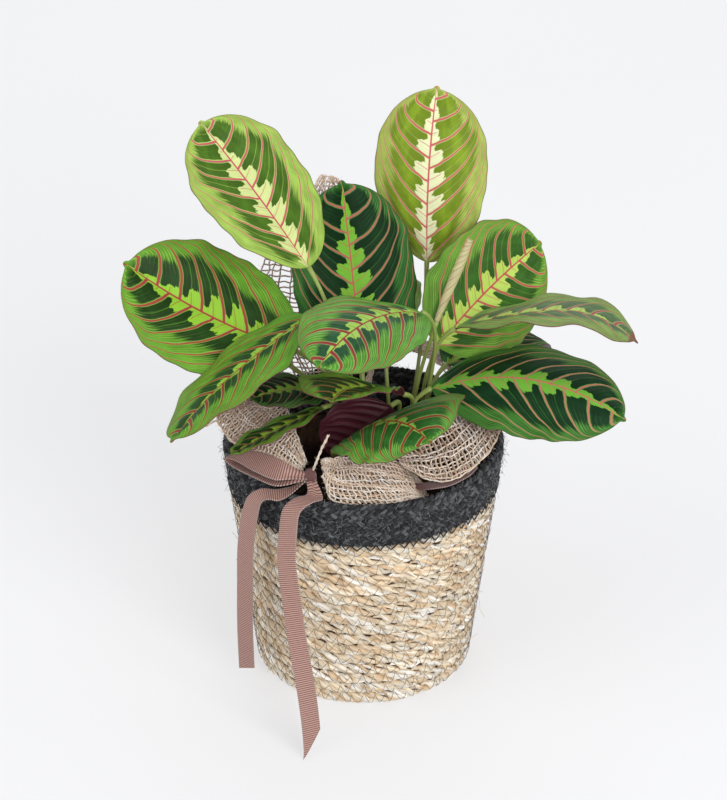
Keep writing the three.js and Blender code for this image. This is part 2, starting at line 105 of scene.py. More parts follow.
class Expr:
    """A number on its way through a node tree. Arithmetic on it adds Math nodes."""

    def __init__(self, tree: "Tree", socket: bpy.types.NodeSocket) -> None:
        """Keeps the tree and the socket that carries the number."""
        self.tree = tree
        self.socket = socket

    def math(self, operation: str, *others: "Expr | float") -> "Expr":
        """The result of one Math node on this number and the others."""
        node = self.tree.node("ShaderNodeMath", dict(enumerate((self, *others))), operation=operation)
        return Expr(self.tree, node.outputs[0])

    def __add__(self, other: "Expr | float") -> "Expr":
        """Sum."""
        return self.math("ADD", other)

    def __sub__(self, other: "Expr | float") -> "Expr":
        """Difference."""
        return self.math("SUBTRACT", other)

    def __rsub__(self, other: float) -> "Expr":
        """Difference from a plain number."""
        return self.math("MULTIPLY_ADD", -1.0, other)

    def __mul__(self, other: "Expr | float") -> "Expr":
        """Product."""
        return self.math("MULTIPLY", other)

    def __truediv__(self, other: "Expr | float") -> "Expr":
        """Quotient."""
        return self.math("DIVIDE", other)

    __radd__ = __add__
    __rmul__ = __mul__

    def size(self) -> "Expr":
        """The number without its sign."""
        return self.math("ABSOLUTE")

    def fraction(self) -> "Expr":
        """What is left above the whole number below it."""
        return self.math("FLOORED_MODULO", 1.0)

    def ramp(self, low: "Expr | float", high: "Expr | float") -> "Expr":
        """0 at low to 1 at high with soft ends; low may be the larger one."""
        node = self.tree.node(
            "ShaderNodeMapRange",
            {"Value": self, "From Min": low, "From Max": high},
            interpolation_type="SMOOTHSTEP",
        )
        return Expr(self.tree, node.outputs[0])


class Tree:
    """Short ways to add and join the nodes of a shader or geometry tree."""

    def __init__(self, tree: bpy.types.NodeTree) -> None:
        """Keeps the tree that the nodes go into."""
        self.tree = tree

    def node(self, kind: str, inputs: dict | None = None, **settings: object) -> bpy.types.Node:
        """Adds a node.

        Args:
            kind: Blender's type name of the node.
            inputs: by name or number, what each input gets, a plain value or a socket.
            settings: the node's own settings.

        Returns:
            The new node.
        """
        node = self.tree.nodes.new(kind)
        for key, value in settings.items():
            setattr(node, key, value)
        for key, value in (inputs or {}).items():
            self.feed(node.inputs[key], value)
        return node

    def feed(self, target: bpy.types.NodeSocket, value: object) -> None:
        """Links a socket to an input, or sets the input to a plain value."""
        value = value.socket if isinstance(value, Expr) else value
        if isinstance(value, bpy.types.NodeSocket):
            self.tree.links.new(value, target)
        elif target.type == "RGBA":
            target.default_value = (*value, 1)[:4]
        else:
            target.default_value = value

    def vector(self, x: "Expr | float", y: "Expr | float", z: "Expr | float") -> bpy.types.NodeSocket:
        """Three numbers as one vector."""
        return self.node("ShaderNodeCombineXYZ", {0: x, 1: y, 2: z}).outputs[0]

    def noise(self, vector: bpy.types.NodeSocket, scale: float, detail: float = 2.0) -> Expr:
        """Smooth noise, about 0.3 to 0.7, at the place a vector gives."""
        node = self.node("ShaderNodeTexNoise", {"Vector": vector, "Scale": scale, "Detail": detail})
        return Expr(self, node.outputs[0])


class Shader(Tree):
    """A material and the nodes that paint it."""

    def __init__(self, name: str) -> None:
        """Starts an empty material of that name."""
        self.material = bpy.data.materials.new(name)
        self.material.use_nodes = True
        super().__init__(self.material.node_tree)
        self.tree.nodes.clear()

    def uv(self) -> tuple[Expr, Expr]:
        """Both numbers of the piece's own UV map."""
        place = self.node("ShaderNodeUVMap", uv_map="UVMap").outputs[0]
        split = self.node("ShaderNodeSeparateXYZ", {0: place})
        return Expr(self, split.outputs[0]), Expr(self, split.outputs[1])

    def blade(self) -> tuple[Expr, Expr, Expr, Expr]:
        """The place on a blade: across from -1 to 1, its size, the side as 0 or 1, and along."""
        u, along = self.uv()
        across = u * 2.0 - 1.0
        return across, across.size(), across.math("GREATER_THAN", 0.0), along

    def attribute(self, name: str) -> Expr:
        """A number that the mesh carries at its points."""
        return Expr(self, self.node("ShaderNodeAttribute", attribute_name=name).outputs["Fac"])

    def place(self) -> bpy.types.NodeSocket:
        """The place in the object's frame, in metres."""
        return self.node("ShaderNodeTexCoord").outputs["Object"]

    def mix(self, share: Expr, a: object, b: object) -> bpy.types.NodeSocket:
        """Colour a where share is 0, colour b where it is 1."""
        return self.node("ShaderNodeMix", {0: share, 6: a, 7: b}, data_type="RGBA").outputs[2]

    def surface(
        self,
        colour: object,
        roughness: object,
        height: Expr | None = None,
        depth: float = 0.3,
        **fixed: object,
    ) -> bpy.types.Material:
        """Finishes the material.

        Args:
            colour: the surface's colour, a socket or a plain colour.
            roughness: a number or an Expr.
            height: relief from 0 to 1.
            depth: what a relief of 1 stands for, in millimetres.
            fixed: further inputs of the shader, such as Sheen_Weight, each a plain value.

        Returns:
            The finished material.
        """
        inputs = {"Base Color": colour, "Roughness": roughness}
        inputs |= {key.replace("_", " "): value for key, value in fixed.items()}
        if height is not None:
            relief = {"Height": height, "Distance": depth * MM, "Strength": 1.0}
            bump = self.node("ShaderNodeBump", relief)
            inputs["Normal"] = bump.outputs[0]
        shader = self.node("ShaderNodeBsdfPrincipled", inputs)
        self.node("ShaderNodeOutputMaterial", {0: shader.outputs[0]})
        return self.material


VEINS = 7.6
SIDE_STEP = 0.45
LEAF_HEM = paint(88, 84, 50)
DRIED = paint(120, 84, 58)


def vein_number(along: object, reach: object, side: object) -> object:
    """Counts veins over a blade, for plain arrays and for shader numbers alike.

    Args:
        along: 0 at the blade's base to 1 at its tip.
        reach: 0 on the midrib to 1 on the margin.
        side: 0 on the left half, 1 on the right.

    Returns:
        A number that is whole plus a half on each side vein and grows towards the tip.
    """
    sweep = (reach * 0.5 + reach * reach * 0.3) * (along * 0.8 + 0.25)
    return (1.0 - (1.0 - along) / (1.0 - sweep)) * VEINS + side * SIDE_STEP


@dataclass(frozen=True)
class LeafFinish:
    """Pattern of a blade's upper side: feathered middle, blotches between red veins."""

    margin: Colour
    blotch: Colour
    feather: Colour
    vein: Colour
    line: Colour
    blotch_reach: float = 0.66
    feather_reach: float = 0.3
    narrowing: float = 0.62
    strip: float = 0.12
    lines: float = 0.45
    vein_width: float = 0.056
    roughness: float = 0.46
    gloss: float = 0.16
    dry_tip: float = 1.2

    def material(self, name: str) -> bpy.types.Material:
        """The finish as a material on the blade's UV map."""
        shader = Shader(name)
        across, reach, side, along = shader.blade()
        # The fields between the veins: after runs from 0 to 1 over each, gap is the way to a vein.
        wobble = shader.noise(shader.vector(reach * 2.2, along * 3.0, side * 7.0), 2.0)
        count = vein_number(along, reach, side) + (wobble - 0.5) * 0.16
        after = (count + 0.5).fraction()
        gap = after.math("PINGPONG", 0.5)
        cell = (count + 0.5).math("FLOOR")
        chance = shader.noise(shader.vector(cell * 3.7, side * 9.0, 0.5), 1.0, 0.0).ramp(0.3, 0.7)
        streak = shader.noise(shader.vector(count * 6.0, reach * 1.1, side * 5.0), 1.6, 3.0)
        fine = shader.noise(shader.vector(count * 15.0, reach * 0.8, side * 3.0), 1.5, 1.0)
        # The feathered middle, with lobes and teeth along its edge.
        teeth = (after * 3.0 + reach * 1.5).fraction()
        taper = (1.0 - along).math("POWER", self.narrowing) * along.ramp(-0.15, 0.1)
        lobe = after.ramp(0.8, 0.42) * after.ramp(-0.04, 0.14) * (0.6 + chance * 0.65)
        edge = taper * (0.3 + lobe * 0.86 + teeth * 0.26 + (streak - 0.5) * 0.6) * self.feather_reach
        feather = reach.ramp(edge + 0.014, edge - 0.006)
        # The blotches, with a clear strip beside each vein and a spur through some.
        limit = self.blotch_reach * (0.84 + chance * 0.3) + (streak - 0.5) * 0.45 - along * 0.05
        blotch = reach.ramp(limit + 0.08, limit - 0.06) * after.ramp(self.strip * 0.4, self.strip)
        blotch = blotch * (1.0 - after).ramp(self.strip * 0.2, self.strip * 0.6)
        blotch = blotch * along.ramp(0.02, 0.09) * along.ramp(0.985, 0.93)
        spur = (after - 0.48).size().ramp(0.035, 0.012)
        blotch = blotch * (1.0 - spur * chance.ramp(0.45, 0.55) * 0.6)
        # The colours, from the ground up to the feathered middle.
        soft = shader.noise(shader.vector(across * 2.0, along * 3.0, 0.0), 2.5)
        # Painted sheen: each blotch is painted lighter across the middle of its reach, where light glances
        # off it.
        glow = soft.ramp(0.3, 0.65) * (reach - limit * 0.6).size().ramp(0.3, 0.0)
        dark = shader.mix(glow, self.blotch, scaled(self.blotch, 1.6))
        ground = shader.mix(soft.ramp(0.25, 0.8), scaled(self.margin, 0.64), self.margin)
        strand = ((count * 5.0 + streak * 0.6).fraction() - 0.5).size().ramp(0.2, 0.06)
        lines = strand * fine.ramp(0.35, 0.6) * reach.ramp(0.15, 0.5) * self.lines
        colour = shader.mix(blotch * 0.97, ground, dark)
        colour = shader.mix(lines * (1.0 - blotch * 0.88), colour, self.line)
        light = shader.mix(fine.ramp(0.3, 0.7), scaled(self.feather, 0.86), self.feather)
        colour = shader.mix(feather, colour, light)
        # The veins, each with a halo, then the midrib, the hem and a dried tip.
        width = self.vein_width + reach * 0.012
        started = (vein_number(along, reach, 0.0) / VEINS).ramp(-0.03, 0.01) * along.ramp(0.0, 0.03)
        halo = gap.ramp(width + 0.055, width) * started * 0.6
        colour = shader.mix(halo, colour, self.line)
        vein = gap.ramp(width, width * 0.72) * (1.0 - reach * 0.1) * started
        vein = vein.math("MAXIMUM", spur * feather * reach.ramp(edge, edge - 0.06) * 0.6)
        midrib = reach.ramp(0.022, 0.01)
        colour = shader.mix(vein.math("MAXIMUM", midrib) * 0.96, colour, self.vein)
        colour = shader.mix(reach.ramp(0.984, 0.996) * 0.8, colour, LEAF_HEM)
        colour = shader.mix(along.ramp(self.dry_tip, self.dry_tip + 0.02), colour, DRIED)
        height = 0.6 - vein * 0.35 + strand * 0.2 + streak * 0.15
        sheen = self.roughness + (soft - 0.5) * 0.15
        return shader.surface(colour, sheen, height, 0.3, Specular_IOR_Level=self.gloss)


@dataclass(frozen=True)
class UndersideFinish:
    """Underside of a blade, wine red with its veins standing out."""

    ground: Colour
    vein: Colour

    def material(self, name: str) -> bpy.types.Material:
        """The finish as a material on the blade's UV map."""
        shader = Shader(name)
        _, reach, side, along = shader.blade()
        count = vein_number(along, reach, side)
        gap = (count.fraction() - 0.5).size()
        fine = shader.noise(shader.vector(count * 15.0, reach * 0.8, side * 3.0), 1.5, 1.0)
        vein = gap.ramp(0.08, 0.03).math("MAXIMUM", reach.ramp(0.06, 0.03))
        shade = shader.mix(fine.ramp(0.35, 0.65), scaled(self.ground, 0.7), self.ground)
        colour = shader.mix(vein * 0.75, shade, self.vein)
        return shader.surface(colour, 0.5, vein * 0.7 + fine * 0.3, 0.3)


class Age(Enum):
    """How old a leaf is, by the name of its material slot."""

    YOUNG = "young_leaf"
    MIDDLE = "leaf"
    OLD = "old_leaf"


UNDERSIDES = {
    Age.YOUNG: UndersideFinish(paint(138, 98, 92), paint(168, 82, 84)),
    Age.MIDDLE: UndersideFinish(paint(112, 52, 62), paint(152, 76, 76)),
    Age.OLD: UndersideFinish(paint(86, 30, 44), paint(50, 16, 28)),
}

LIME = LeafFinish(
    paint(162, 198, 84), paint(54, 88, 14), paint(208, 222, 146), paint(190, 72, 94), paint(198, 220, 132),
    blotch_reach=0.7,
)
OLIVE = LeafFinish(
    paint(170, 190, 84), paint(104, 128, 24), paint(232, 236, 188), paint(198, 82, 98), paint(208, 216, 142),
    blotch_reach=0.78, feather_reach=0.24, narrowing=0.4, strip=0.06,
)
GREEN = LeafFinish(
    paint(104, 166, 44), paint(20, 50, 12), paint(150, 204, 58), paint(162, 50, 56), paint(156, 198, 90),
    lines=0.8, vein_width=0.072,
)
DROOPING = LeafFinish(
    paint(96, 160, 40), paint(28, 58, 24), paint(144, 196, 66), paint(146, 40, 46), paint(148, 194, 84),
    blotch_reach=0.38, feather_reach=0.12, strip=0.16, lines=0.7, vein_width=0.088,
)
RIM_LEAF = LeafFinish(
    paint(84, 148, 44), paint(34, 84, 30), paint(134, 186, 74), paint(138, 38, 38), paint(150, 204, 108),
    feather_reach=0.13, lines=0.85, vein_width=0.105,
)
SOFT_GREEN = LeafFinish(
    paint(86, 150, 48), paint(28, 64, 40), paint(152, 196, 84), paint(138, 28, 48), paint(158, 194, 112),
    blotch_reach=0.42, feather_reach=0.24, roughness=0.4, lines=0.7, vein_width=0.1,
)
DEEP = LeafFinish(
    paint(52, 112, 44), paint(6, 38, 13), paint(120, 184, 58), paint(184, 98, 82), paint(118, 162, 98),
    blotch_reach=0.8, feather_reach=0.29, strip=0.03, lines=0.6, vein_width=0.048, gloss=0.08,
)
BROAD = LeafFinish(
    paint(58, 118, 42), paint(9, 42, 20), paint(112, 178, 60), paint(188, 112, 94), paint(124, 168, 92),
    blotch_reach=0.74, feather_reach=0.21, narrowing=0.45, strip=0.03, lines=0.65, vein_width=0.046,
    gloss=0.1,
)
PASTEL = LeafFinish(
    paint(104, 158, 48), paint(40, 80, 20), paint(182, 212, 94), paint(184, 68, 80), paint(164, 200, 96),
    lines=0.65, vein_width=0.066,
)
WAVY = LeafFinish(
    paint(122, 160, 80), paint(72, 94, 64), paint(168, 198, 102), paint(160, 66, 80), paint(172, 192, 120),
    blotch_reach=0.52, dry_tip=0.94, feather_reach=0.2, lines=0.6, vein_width=0.07,
)
ROLLED_INSIDE = LeafFinish(
    paint(196, 200, 130), paint(170, 176, 96), paint(214, 212, 152),
    paint(186, 130, 100), paint(214, 214, 160),
    blotch_reach=0.2,
)
ROLLED_OUTSIDE = UndersideFinish(paint(208, 198, 148), paint(176, 140, 108))


@dataclass(frozen=True)
class FibreFinish:
    """Strands of straw, jute or thread, painted along each strand."""

    colours: tuple[Colour, Colour, Colour]
    patch: float = 0.03
    roughness: float = 0.85
    depth: float = 0.3
    glint: float = 0.4
    gloss: float = 0.4

    def material(self, name: str) -> bpy.types.Material:
        """The finish as a material on the strands' own along, around and tint numbers."""
        shader = Shader(name)
        along = shader.attribute("along") * 1000.0
        around = shader.attribute("around")
        tint = shader.attribute("tint")
        patches = shader.noise(shader.vector(along * self.patch, around * 1.5, tint * 40.0), 1.0, 2.0)
        fibre = shader.noise(shader.vector(along * 0.12, around * 16.0, tint * 90.0), 1.0, 3.0)
        low, middle, high = self.colours
        shade = patches + (tint - 0.5) * 0.3
        colour = shader.mix(shade.ramp(0.3, 0.5), low, middle)
        colour = shader.mix(shade.ramp(0.5, 0.68), colour, high)
        colour = shader.mix(fibre.ramp(0.5, 0.28) * 0.68, colour, scaled(low, 0.4))
        colour = shader.mix(fibre.ramp(0.56, 0.68) * self.glint, colour, high)
        return shader.surface(colour, self.roughness, fibre, self.depth, Specular_IOR_Level=self.gloss)


@dataclass(frozen=True)
class StalkFinish:
    """Smooth green stalk, redder towards its foot, with fine lines along it."""

    upper: Colour = paint(146, 164, 82)
    lower: Colour = paint(118, 132, 60)
    foot: Colour = paint(112, 62, 52)

    def material(self, name: str) -> bpy.types.Material:
        """The finish as a material on the stalk's UV map."""
        shader = Shader(name)
        around, along = shader.uv()
        lines = shader.noise(shader.vector(around * 14.0, along * 0.6, 0.0), 1.0, 2.0)
        colour = shader.mix(along.ramp(0.2, 0.9), self.lower, self.upper)
        colour = shader.mix(along.ramp(0.3, 0.02) * 0.8, colour, self.foot)
        colour = shader.mix(lines.ramp(0.55, 0.35) * 0.4, colour, scaled(self.lower, 0.5))
        return shader.surface(colour, 0.4, lines, 0.15)


@dataclass(frozen=True)
class RibbonFinish:
    """Cross-ribbed ribbon with a soft sheen; its rib crests carry a painted highlight and its grooves a
    painted shade.
    """

    crest_highlight: Colour = paint(182, 143, 131)
    groove_shade: Colour = paint(98, 61, 55)
    hem: Colour = paint(222, 206, 200)

    def material(self, name: str) -> bpy.types.Material:
        """The finish as a material; v counts the ribs along the ribbon."""
        shader = Shader(name)
        u, ribs = shader.uv()
        wave = (ribs * TURN).math("COSINE") * 0.5 + 0.5
        cloth = shader.noise(shader.vector(u * 30.0, ribs * 0.6, 0.0), 1.0, 2.0)
        selvedge = (u - 0.5).size().ramp(0.44, 0.47)
        # Painted highlight on the rib crests and painted shade in the grooves, over the real ridges; at the
        # selvedge the grooves take a deeper painted shade and the crests the pale hem colour as a painted
        # highlight.
        colour = shader.mix(wave.ramp(0.0, 0.75), self.groove_shade, self.crest_highlight)
        colour = shader.mix(selvedge * (1.0 - wave) * 0.8, colour, scaled(self.groove_shade, 0.6))
        colour = shader.mix(selvedge * wave * 0.5, colour, self.hem)
        colour = shader.mix(cloth.ramp(0.6, 0.3) * 0.25, colour, self.groove_shade)
        return shader.surface(colour, 0.62, cloth, 0.08, Sheen_Weight=0.2)


@dataclass(frozen=True)
class GrainFinish:
    """Plain matter with a grain on object coordinates: soil, plastic, floor."""

    dark: Colour
    light: Colour
    scale: float
    roughness: float
    depth: float

    def material(self, name: str) -> bpy.types.Material:
        """The finish as a material on object coordinates."""
        shader = Shader(name)
        grain = shader.noise(shader.place(), self.scale, 5.0)
        colour = shader.mix(grain.ramp(0.3, 0.7), self.dark, self.light)
        return shader.surface(colour, self.roughness, grain, self.depth)


STRAW = FibreFinish(
    (paint(229, 198, 160), paint(244, 227, 198), paint(254, 250, 241)), patch=0.065, depth=0.8
)
WISP = FibreFinish((paint(170, 138, 104), paint(214, 190, 158), paint(240, 230, 214)), patch=0.1)
# Dark brown of the straw core and floor disc: painted shade that shows between and behind the pale strands.
STRAW_GAP_SHADE = GrainFinish(paint(50, 35, 23), paint(90, 66, 43), 220.0, 0.9, 0.6)
DARK_THREAD = FibreFinish(
    (paint(66, 42, 26), paint(92, 62, 40), paint(128, 92, 62)), roughness=1.0, glint=0.1, gloss=0.0
)
DYED_JUTE = FibreFinish(
    (paint(26, 27, 30), paint(50, 52, 55), paint(106, 108, 111)), patch=0.16, depth=1.0, glint=0.5
)
DYED_HAIR = FibreFinish((paint(52, 54, 56), paint(124, 126, 129), paint(196, 197, 196)), patch=0.3)
# Near black under the band's plaits, darker than any strand: painted shade in the gaps between them.
BAND_GAP_SHADE = GrainFinish(paint(8, 9, 10), paint(20, 21, 22), 400.0, 0.95, 0.5)
JUTE = FibreFinish(
    (paint(220, 190, 162), paint(242, 224, 204), paint(253, 246, 236)), patch=0.08, depth=0.25
)
# Soil brown, darkened further as painted shade from the leaves that hang over it.
SOIL = GrainFinish(paint(20, 15, 12), paint(56, 43, 34), 260.0, 0.95, 1.2)
POT_PLASTIC = GrainFinish(paint(44, 28, 24), paint(58, 38, 32), 60.0, 0.5, 0.05)


def placed(name: str, data: bpy.types.ID) -> bpy.types.Object:
    """A new object with that data, in the scene."""
    made = bpy.data.objects.new(name, data)
    bpy.context.scene.collection.objects.link(made)
    return made


def make_piece(
    name: str,
    points: np.ndarray,
    faces: Sequence[Sequence[int]],
    materials: Sequence[bpy.types.Material],
    uv: np.ndarray | None = None,
    slots: np.ndarray | None = None,
) -> bpy.types.Object:
    """Makes an object from points in millimetres.

    Args:
        name: the piece's name.
        points: its points, one a row.
        faces: its faces, as numbers of points.
        materials: the materials its faces may have.
        uv: the UV place of each point.
        slots: which material each face has.

    Returns:
        The object, smooth shaded.
    """
    mesh = bpy.data.meshes.new(name)
    mesh.from_pydata((np.asarray(points) * MM).tolist(), [], [list(map(int, f)) for f in faces])
    for material in materials:
        mesh.materials.append(material)
    if uv is not None:
        corners = np.zeros(len(mesh.loops), np.int32)
        mesh.loops.foreach_get("vertex_index", corners)
        layer = mesh.uv_layers.new(name="UVMap")
        layer.data.foreach_set("uv", uv[corners].astype(np.float32).ravel())
    if slots is not None:
        mesh.polygons.foreach_set("material_index", np.asarray(slots, np.int32))
    mesh.polygons.foreach_set("use_smooth", np.ones(len(mesh.polygons), bool))
    return placed(name, mesh)


def closed_sheet(
    name: str,
    middle: np.ndarray,
    thickness: np.ndarray | float,
    materials: Sequence[bpy.types.Material],
    uv: np.ndarray,
) -> bpy.types.Object:
    """Makes a closed thin sheet on a grid of points.

    Args:
        name: the piece's name.
        middle: rows x columns x 3, the sheet's middle surface, in millimetres.
        thickness: of the sheet, one number or one for each point.
        materials: the upper side's material and, if it differs, the underside's.
        uv: rows x columns x 2.

    Returns:
        The object.
    """
    rows, columns, _ = middle.shape
    normal = unit(np.cross(np.gradient(middle, axis=1), np.gradient(middle, axis=0)))
    half = normal * np.broadcast_to(np.asarray(thickness, float) / 2, (rows, columns))[..., None]
    count = rows * columns
    points = np.concatenate([(middle + half).reshape(-1, 3), (middle - half).reshape(-1, 3)])
    grid = np.arange(count).reshape(rows, columns)
    corners = [grid[:-1, :-1], grid[:-1, 1:], grid[1:, 1:], grid[1:, :-1]]
    quads = np.stack(corners, axis=-1).reshape(-1, 4)
    loop = np.concatenate([grid[0, :-1], grid[:-1, -1], grid[-1, :0:-1], grid[:0:-1, 0]])
    after = np.roll(loop, -1)
    rim = np.stack([after, loop, loop + count, after + count], axis=-1)
    faces = np.concatenate([quads, quads[:, ::-1] + count, rim])
    under = 1 if len(materials) > 1 else 0
    slots = np.concatenate([np.zeros(len(quads)), np.full(len(quads) + len(rim), under)])
    flat_uv = uv.reshape(-1, 2)
    return make_piece(name, points, faces, materials, np.concatenate([flat_uv, flat_uv]), slots)


def bands(rows: int, sides: int, closed: bool = False) -> list[tuple[int, ...]]:
    """Faces of a body made of rings of points.

    Args:
        rows: how many rings it has.
        sides: how many points a ring has.
        closed: whether the last ring joins the first one; if not, both ends get a cap.

    Returns:
        The faces, as numbers of points.
    """
    faces = []
    for row in range(rows if closed else rows - 1):
        a, b = row * sides, (row + 1) % rows * sides
        faces += [(a + j, a + (j + 1) % sides, b + (j + 1) % sides, b + j) for j in range(sides)]
    if not closed:
        faces += [tuple(range(sides))[::-1], tuple(range((rows - 1) * sides, rows * sides))]
    return faces


def tube(path: np.ndarray, radii: np.ndarray, sides: int) -> Shell:
    """A closed tube along a path.

    Args:
        path: the points of its centre line.
        radii: its radius at each of them.
        sides: how many sides it has.

    Returns:
        Its points, its faces and its UV places: side and share of the length.
    """
    ahead = unit(np.gradient(path, axis=0))
    side = unit(np.cross(ahead[0], [0.31, 0.87, 0.38]))
    points, uv = [], []
    for k, (centre, direction, radius) in enumerate(zip(path, ahead, radii)):
        side = unit(side - direction * (side @ direction))
        other = np.cross(direction, side)
        for j in range(sides):
            turn = 2 * np.pi * j / sides
            points.append(centre + radius * (side * np.cos(turn) + other * np.sin(turn)))
            uv.append((abs(2 * j / sides - 1), k / (len(path) - 1)))
    return np.array(points), bands(len(path), sides), np.array(uv)


def merged(parts: Sequence[Shell]) -> Shell:
    """Several bodies as one, each its points, its faces and its UV places."""
    starts = np.cumsum([0, *(len(points) for points, _, _ in parts)])
    faces = [[start + i for i in face] for start, (_, own, _) in zip(starts, parts) for face in own]
    points = np.concatenate([points for points, _, _ in parts])
    return points, faces, np.concatenate([uv for _, _, uv in parts])


def lines_mesh(
    name: str, lines: Sequence[np.ndarray], tints: Sequence[float], closed: bool = False
) -> bpy.types.Object:
    """Makes an object of bare edges, one chain a line, as the path for a Geometry Nodes tree.

    Args:
        name: the object's name.
        lines: the points of each line, in millimetres.
        tints: a number from 0 to 1 for each line, which its material reads.
        closed: whether each line joins its own start.

    Returns:
        The object.
    """
    edges, tint, start = [], [], 0
    for line, shade in zip(lines, tints):
        count = len(line)
        edges += [(start + k, start + k + 1) for k in range(count - 1)]
        edges += [(start + count - 1, start)] if closed else []
        tint += [shade] * count
        start += count
    mesh = bpy.data.meshes.new(name)
    mesh.from_pydata((np.concatenate(lines) * MM).tolist(), edges, [])
    shades = mesh.attributes.new("tint", "FLOAT", "POINT")
    shades.data.foreach_set("value", np.array(tint, np.float32))
    return placed(name, mesh)


class NodeShape(Tree):
    """A Geometry Nodes tree with named inputs, run on a path or surface."""

    def __init__(self, name: str, **inputs: tuple[str, ...]) -> None:
        """Starts the tree.

        Args:
            name: the tree's name.
            inputs: the names of its inputs, by their kind: Float, Int or Material.
        """
        group = bpy.data.node_groups.new(name, "GeometryNodeTree")
        super().__init__(group)
        group.interface.new_socket("Geometry", in_out="INPUT", socket_type="NodeSocketGeometry")
        for kind, labels in inputs.items():
            for label in labels:
                group.interface.new_socket(label, in_out="INPUT", socket_type=f"NodeSocket{kind}")
        group.interface.new_socket("Geometry", in_out="OUTPUT", socket_type="NodeSocketGeometry")
        self.given = self.node("NodeGroupInput").outputs

    def number(self, label: str) -> Expr:
        """A named input as a number."""
        return Expr(self, self.given[label])

    def place(self) -> bpy.types.NodeSocket:
        """Where a point lies."""
        return self.node("GeometryNodeInputPosition").outputs[0]

    def normal(self) -> bpy.types.NodeSocket:
        """The way that the surface faces."""
        return self.node("GeometryNodeInputNormal").outputs[0]

    def carried(self, name: str) -> Expr:
        """A number that the geometry carries under a name."""
        node = self.node("GeometryNodeInputNamedAttribute", {0: name}, data_type="FLOAT")
        return Expr(self, node.outputs[0])

    def outward(self, place: bpy.types.NodeSocket) -> bpy.types.NodeSocket:
        """The level direction away from the upright axis."""
        level = (1.0, 1.0, 0.0)
        flat = self.node("ShaderNodeVectorMath", {0: place, 1: level}, operation="MULTIPLY").outputs[0]
        return self.node("ShaderNodeVectorMath", {0: flat}, operation="NORMALIZE").outputs[0]

    def stretched(self, vector: bpy.types.NodeSocket, share: Expr) -> bpy.types.NodeSocket:
        """A vector made longer or shorter by a number."""
        return self.node("ShaderNodeVectorMath", {0: vector, "Scale": share}, operation="SCALE").outputs[0]

    def chance(self, low: float, high: float, seed: int) -> bpy.types.NodeSocket:
        """A random number between two others."""
        limits = {2: low, 3: high, "Seed": seed}
        return self.node("FunctionNodeRandomValue", limits, data_type="FLOAT").outputs[1]

    def chances(self, low: object, high: object, seed: int) -> bpy.types.NodeSocket:
        """A random vector between two others."""
        limits = {0: low, 1: high, "Seed": seed}
        return self.node("FunctionNodeRandomValue", limits, data_type="FLOAT_VECTOR").outputs[0]

    def spots(self, chosen: Expr) -> bpy.types.bpy_prop_collection:
        """Random spots on the given surface where chosen is 1, with their Points and Rotation."""
        inputs = {"Density": self.given["Density"], "Seed": self.given["Seed"]}
        inputs |= {"Mesh": self.given["Geometry"], "Selection": chosen}
        return self.node("GeometryNodeDistributePointsOnFaces", inputs).outputs

    def joined(self, *parts: bpy.types.NodeSocket) -> bpy.types.NodeSocket:
        """Several geometries as one."""
        join = self.node("GeometryNodeJoinGeometry")
        for geometry in parts:
            self.tree.links.new(geometry, join.inputs[0])
        return join.outputs[0]

    def stored(
        self, geometry: object, name: str, value: object, domain: str = "POINT"
    ) -> bpy.types.NodeSocket:
        """Geometry that carries a number under a name, for its material."""
        inputs = {"Geometry": geometry, "Name": name}
        node = self.node("GeometryNodeStoreNamedAttribute", inputs, data_type="FLOAT", domain=domain)
        self.feed(node.inputs["Value"], value)
        return node.outputs[0]

    def bar(self, curve: object, radius: object, sides: object) -> bpy.types.NodeSocket:
        """A capped bar round a curve that knows its length and the way round it."""
        spline = self.node("GeometryNodeSplineParameter").outputs
        rail = self.stored(curve, "along", spline["Length"])
        size = {"Resolution": sides, "Radius": radius}
        circle = self.node("GeometryNodeCurvePrimitiveCircle", size).outputs[0]
        ring = self.stored(circle, "around", (Expr(self, spline["Factor"]) * 2.0 - 1.0).size())
        return self.node("GeometryNodeCurveToMesh", {0: rail, 1: ring, "Fill Caps": True}).outputs[0]

    def close(self, geometry: object, material: object) -> None:
        """Ends the tree: real geometry, smooth, in its material."""
        real = self.node("GeometryNodeRealizeInstances", {0: geometry}).outputs[0]
        smooth = self.node("GeometryNodeSetShadeSmooth", {0: real}).outputs[0]
        dressed = self.node("GeometryNodeSetMaterial", {"Geometry": smooth, "Material": material})
        self.node("NodeGroupOutput", {0: dressed.outputs[0]})

    def run(self, source: bpy.types.Object, values: dict[str, object]) -> bpy.types.Object:
        """Runs the tree on an object and turns the result into a plain mesh.

        Args:
            source: the object with the path or surface; it goes.
            values: what each named input gets.

        Returns:
            A new object with the result, under the source's name.
        """
        modifier = source.modifiers.new("shape", "NODES")
        modifier.node_group = self.tree
        for item in self.tree.interface.items_tree:
            if item.in_out == "INPUT" and item.name in values:
                modifier[item.identifier] = values[item.name]
        graph = bpy.context.evaluated_depsgraph_get()
        mesh = bpy.data.meshes.new_from_object(source.evaluated_get(graph))
        source.modifiers.remove(modifier)
        name = source.name
        bpy.data.objects.remove(source)
        return placed(name, mesh)


def cord_shape() -> NodeShape:
    """A tree that turns each line of a path into a round cord."""
    shape = NodeShape("cords", Float=("Radius",), Int=("Sides",), Material=("Material",))
    curve = shape.node("GeometryNodeMeshToCurve", {0: shape.given["Geometry"]}).outputs[0]
    bar = shape.bar(curve, shape.number("Radius"), shape.given["Sides"])
    shape.close(bar, shape.given["Material"])
    return shape


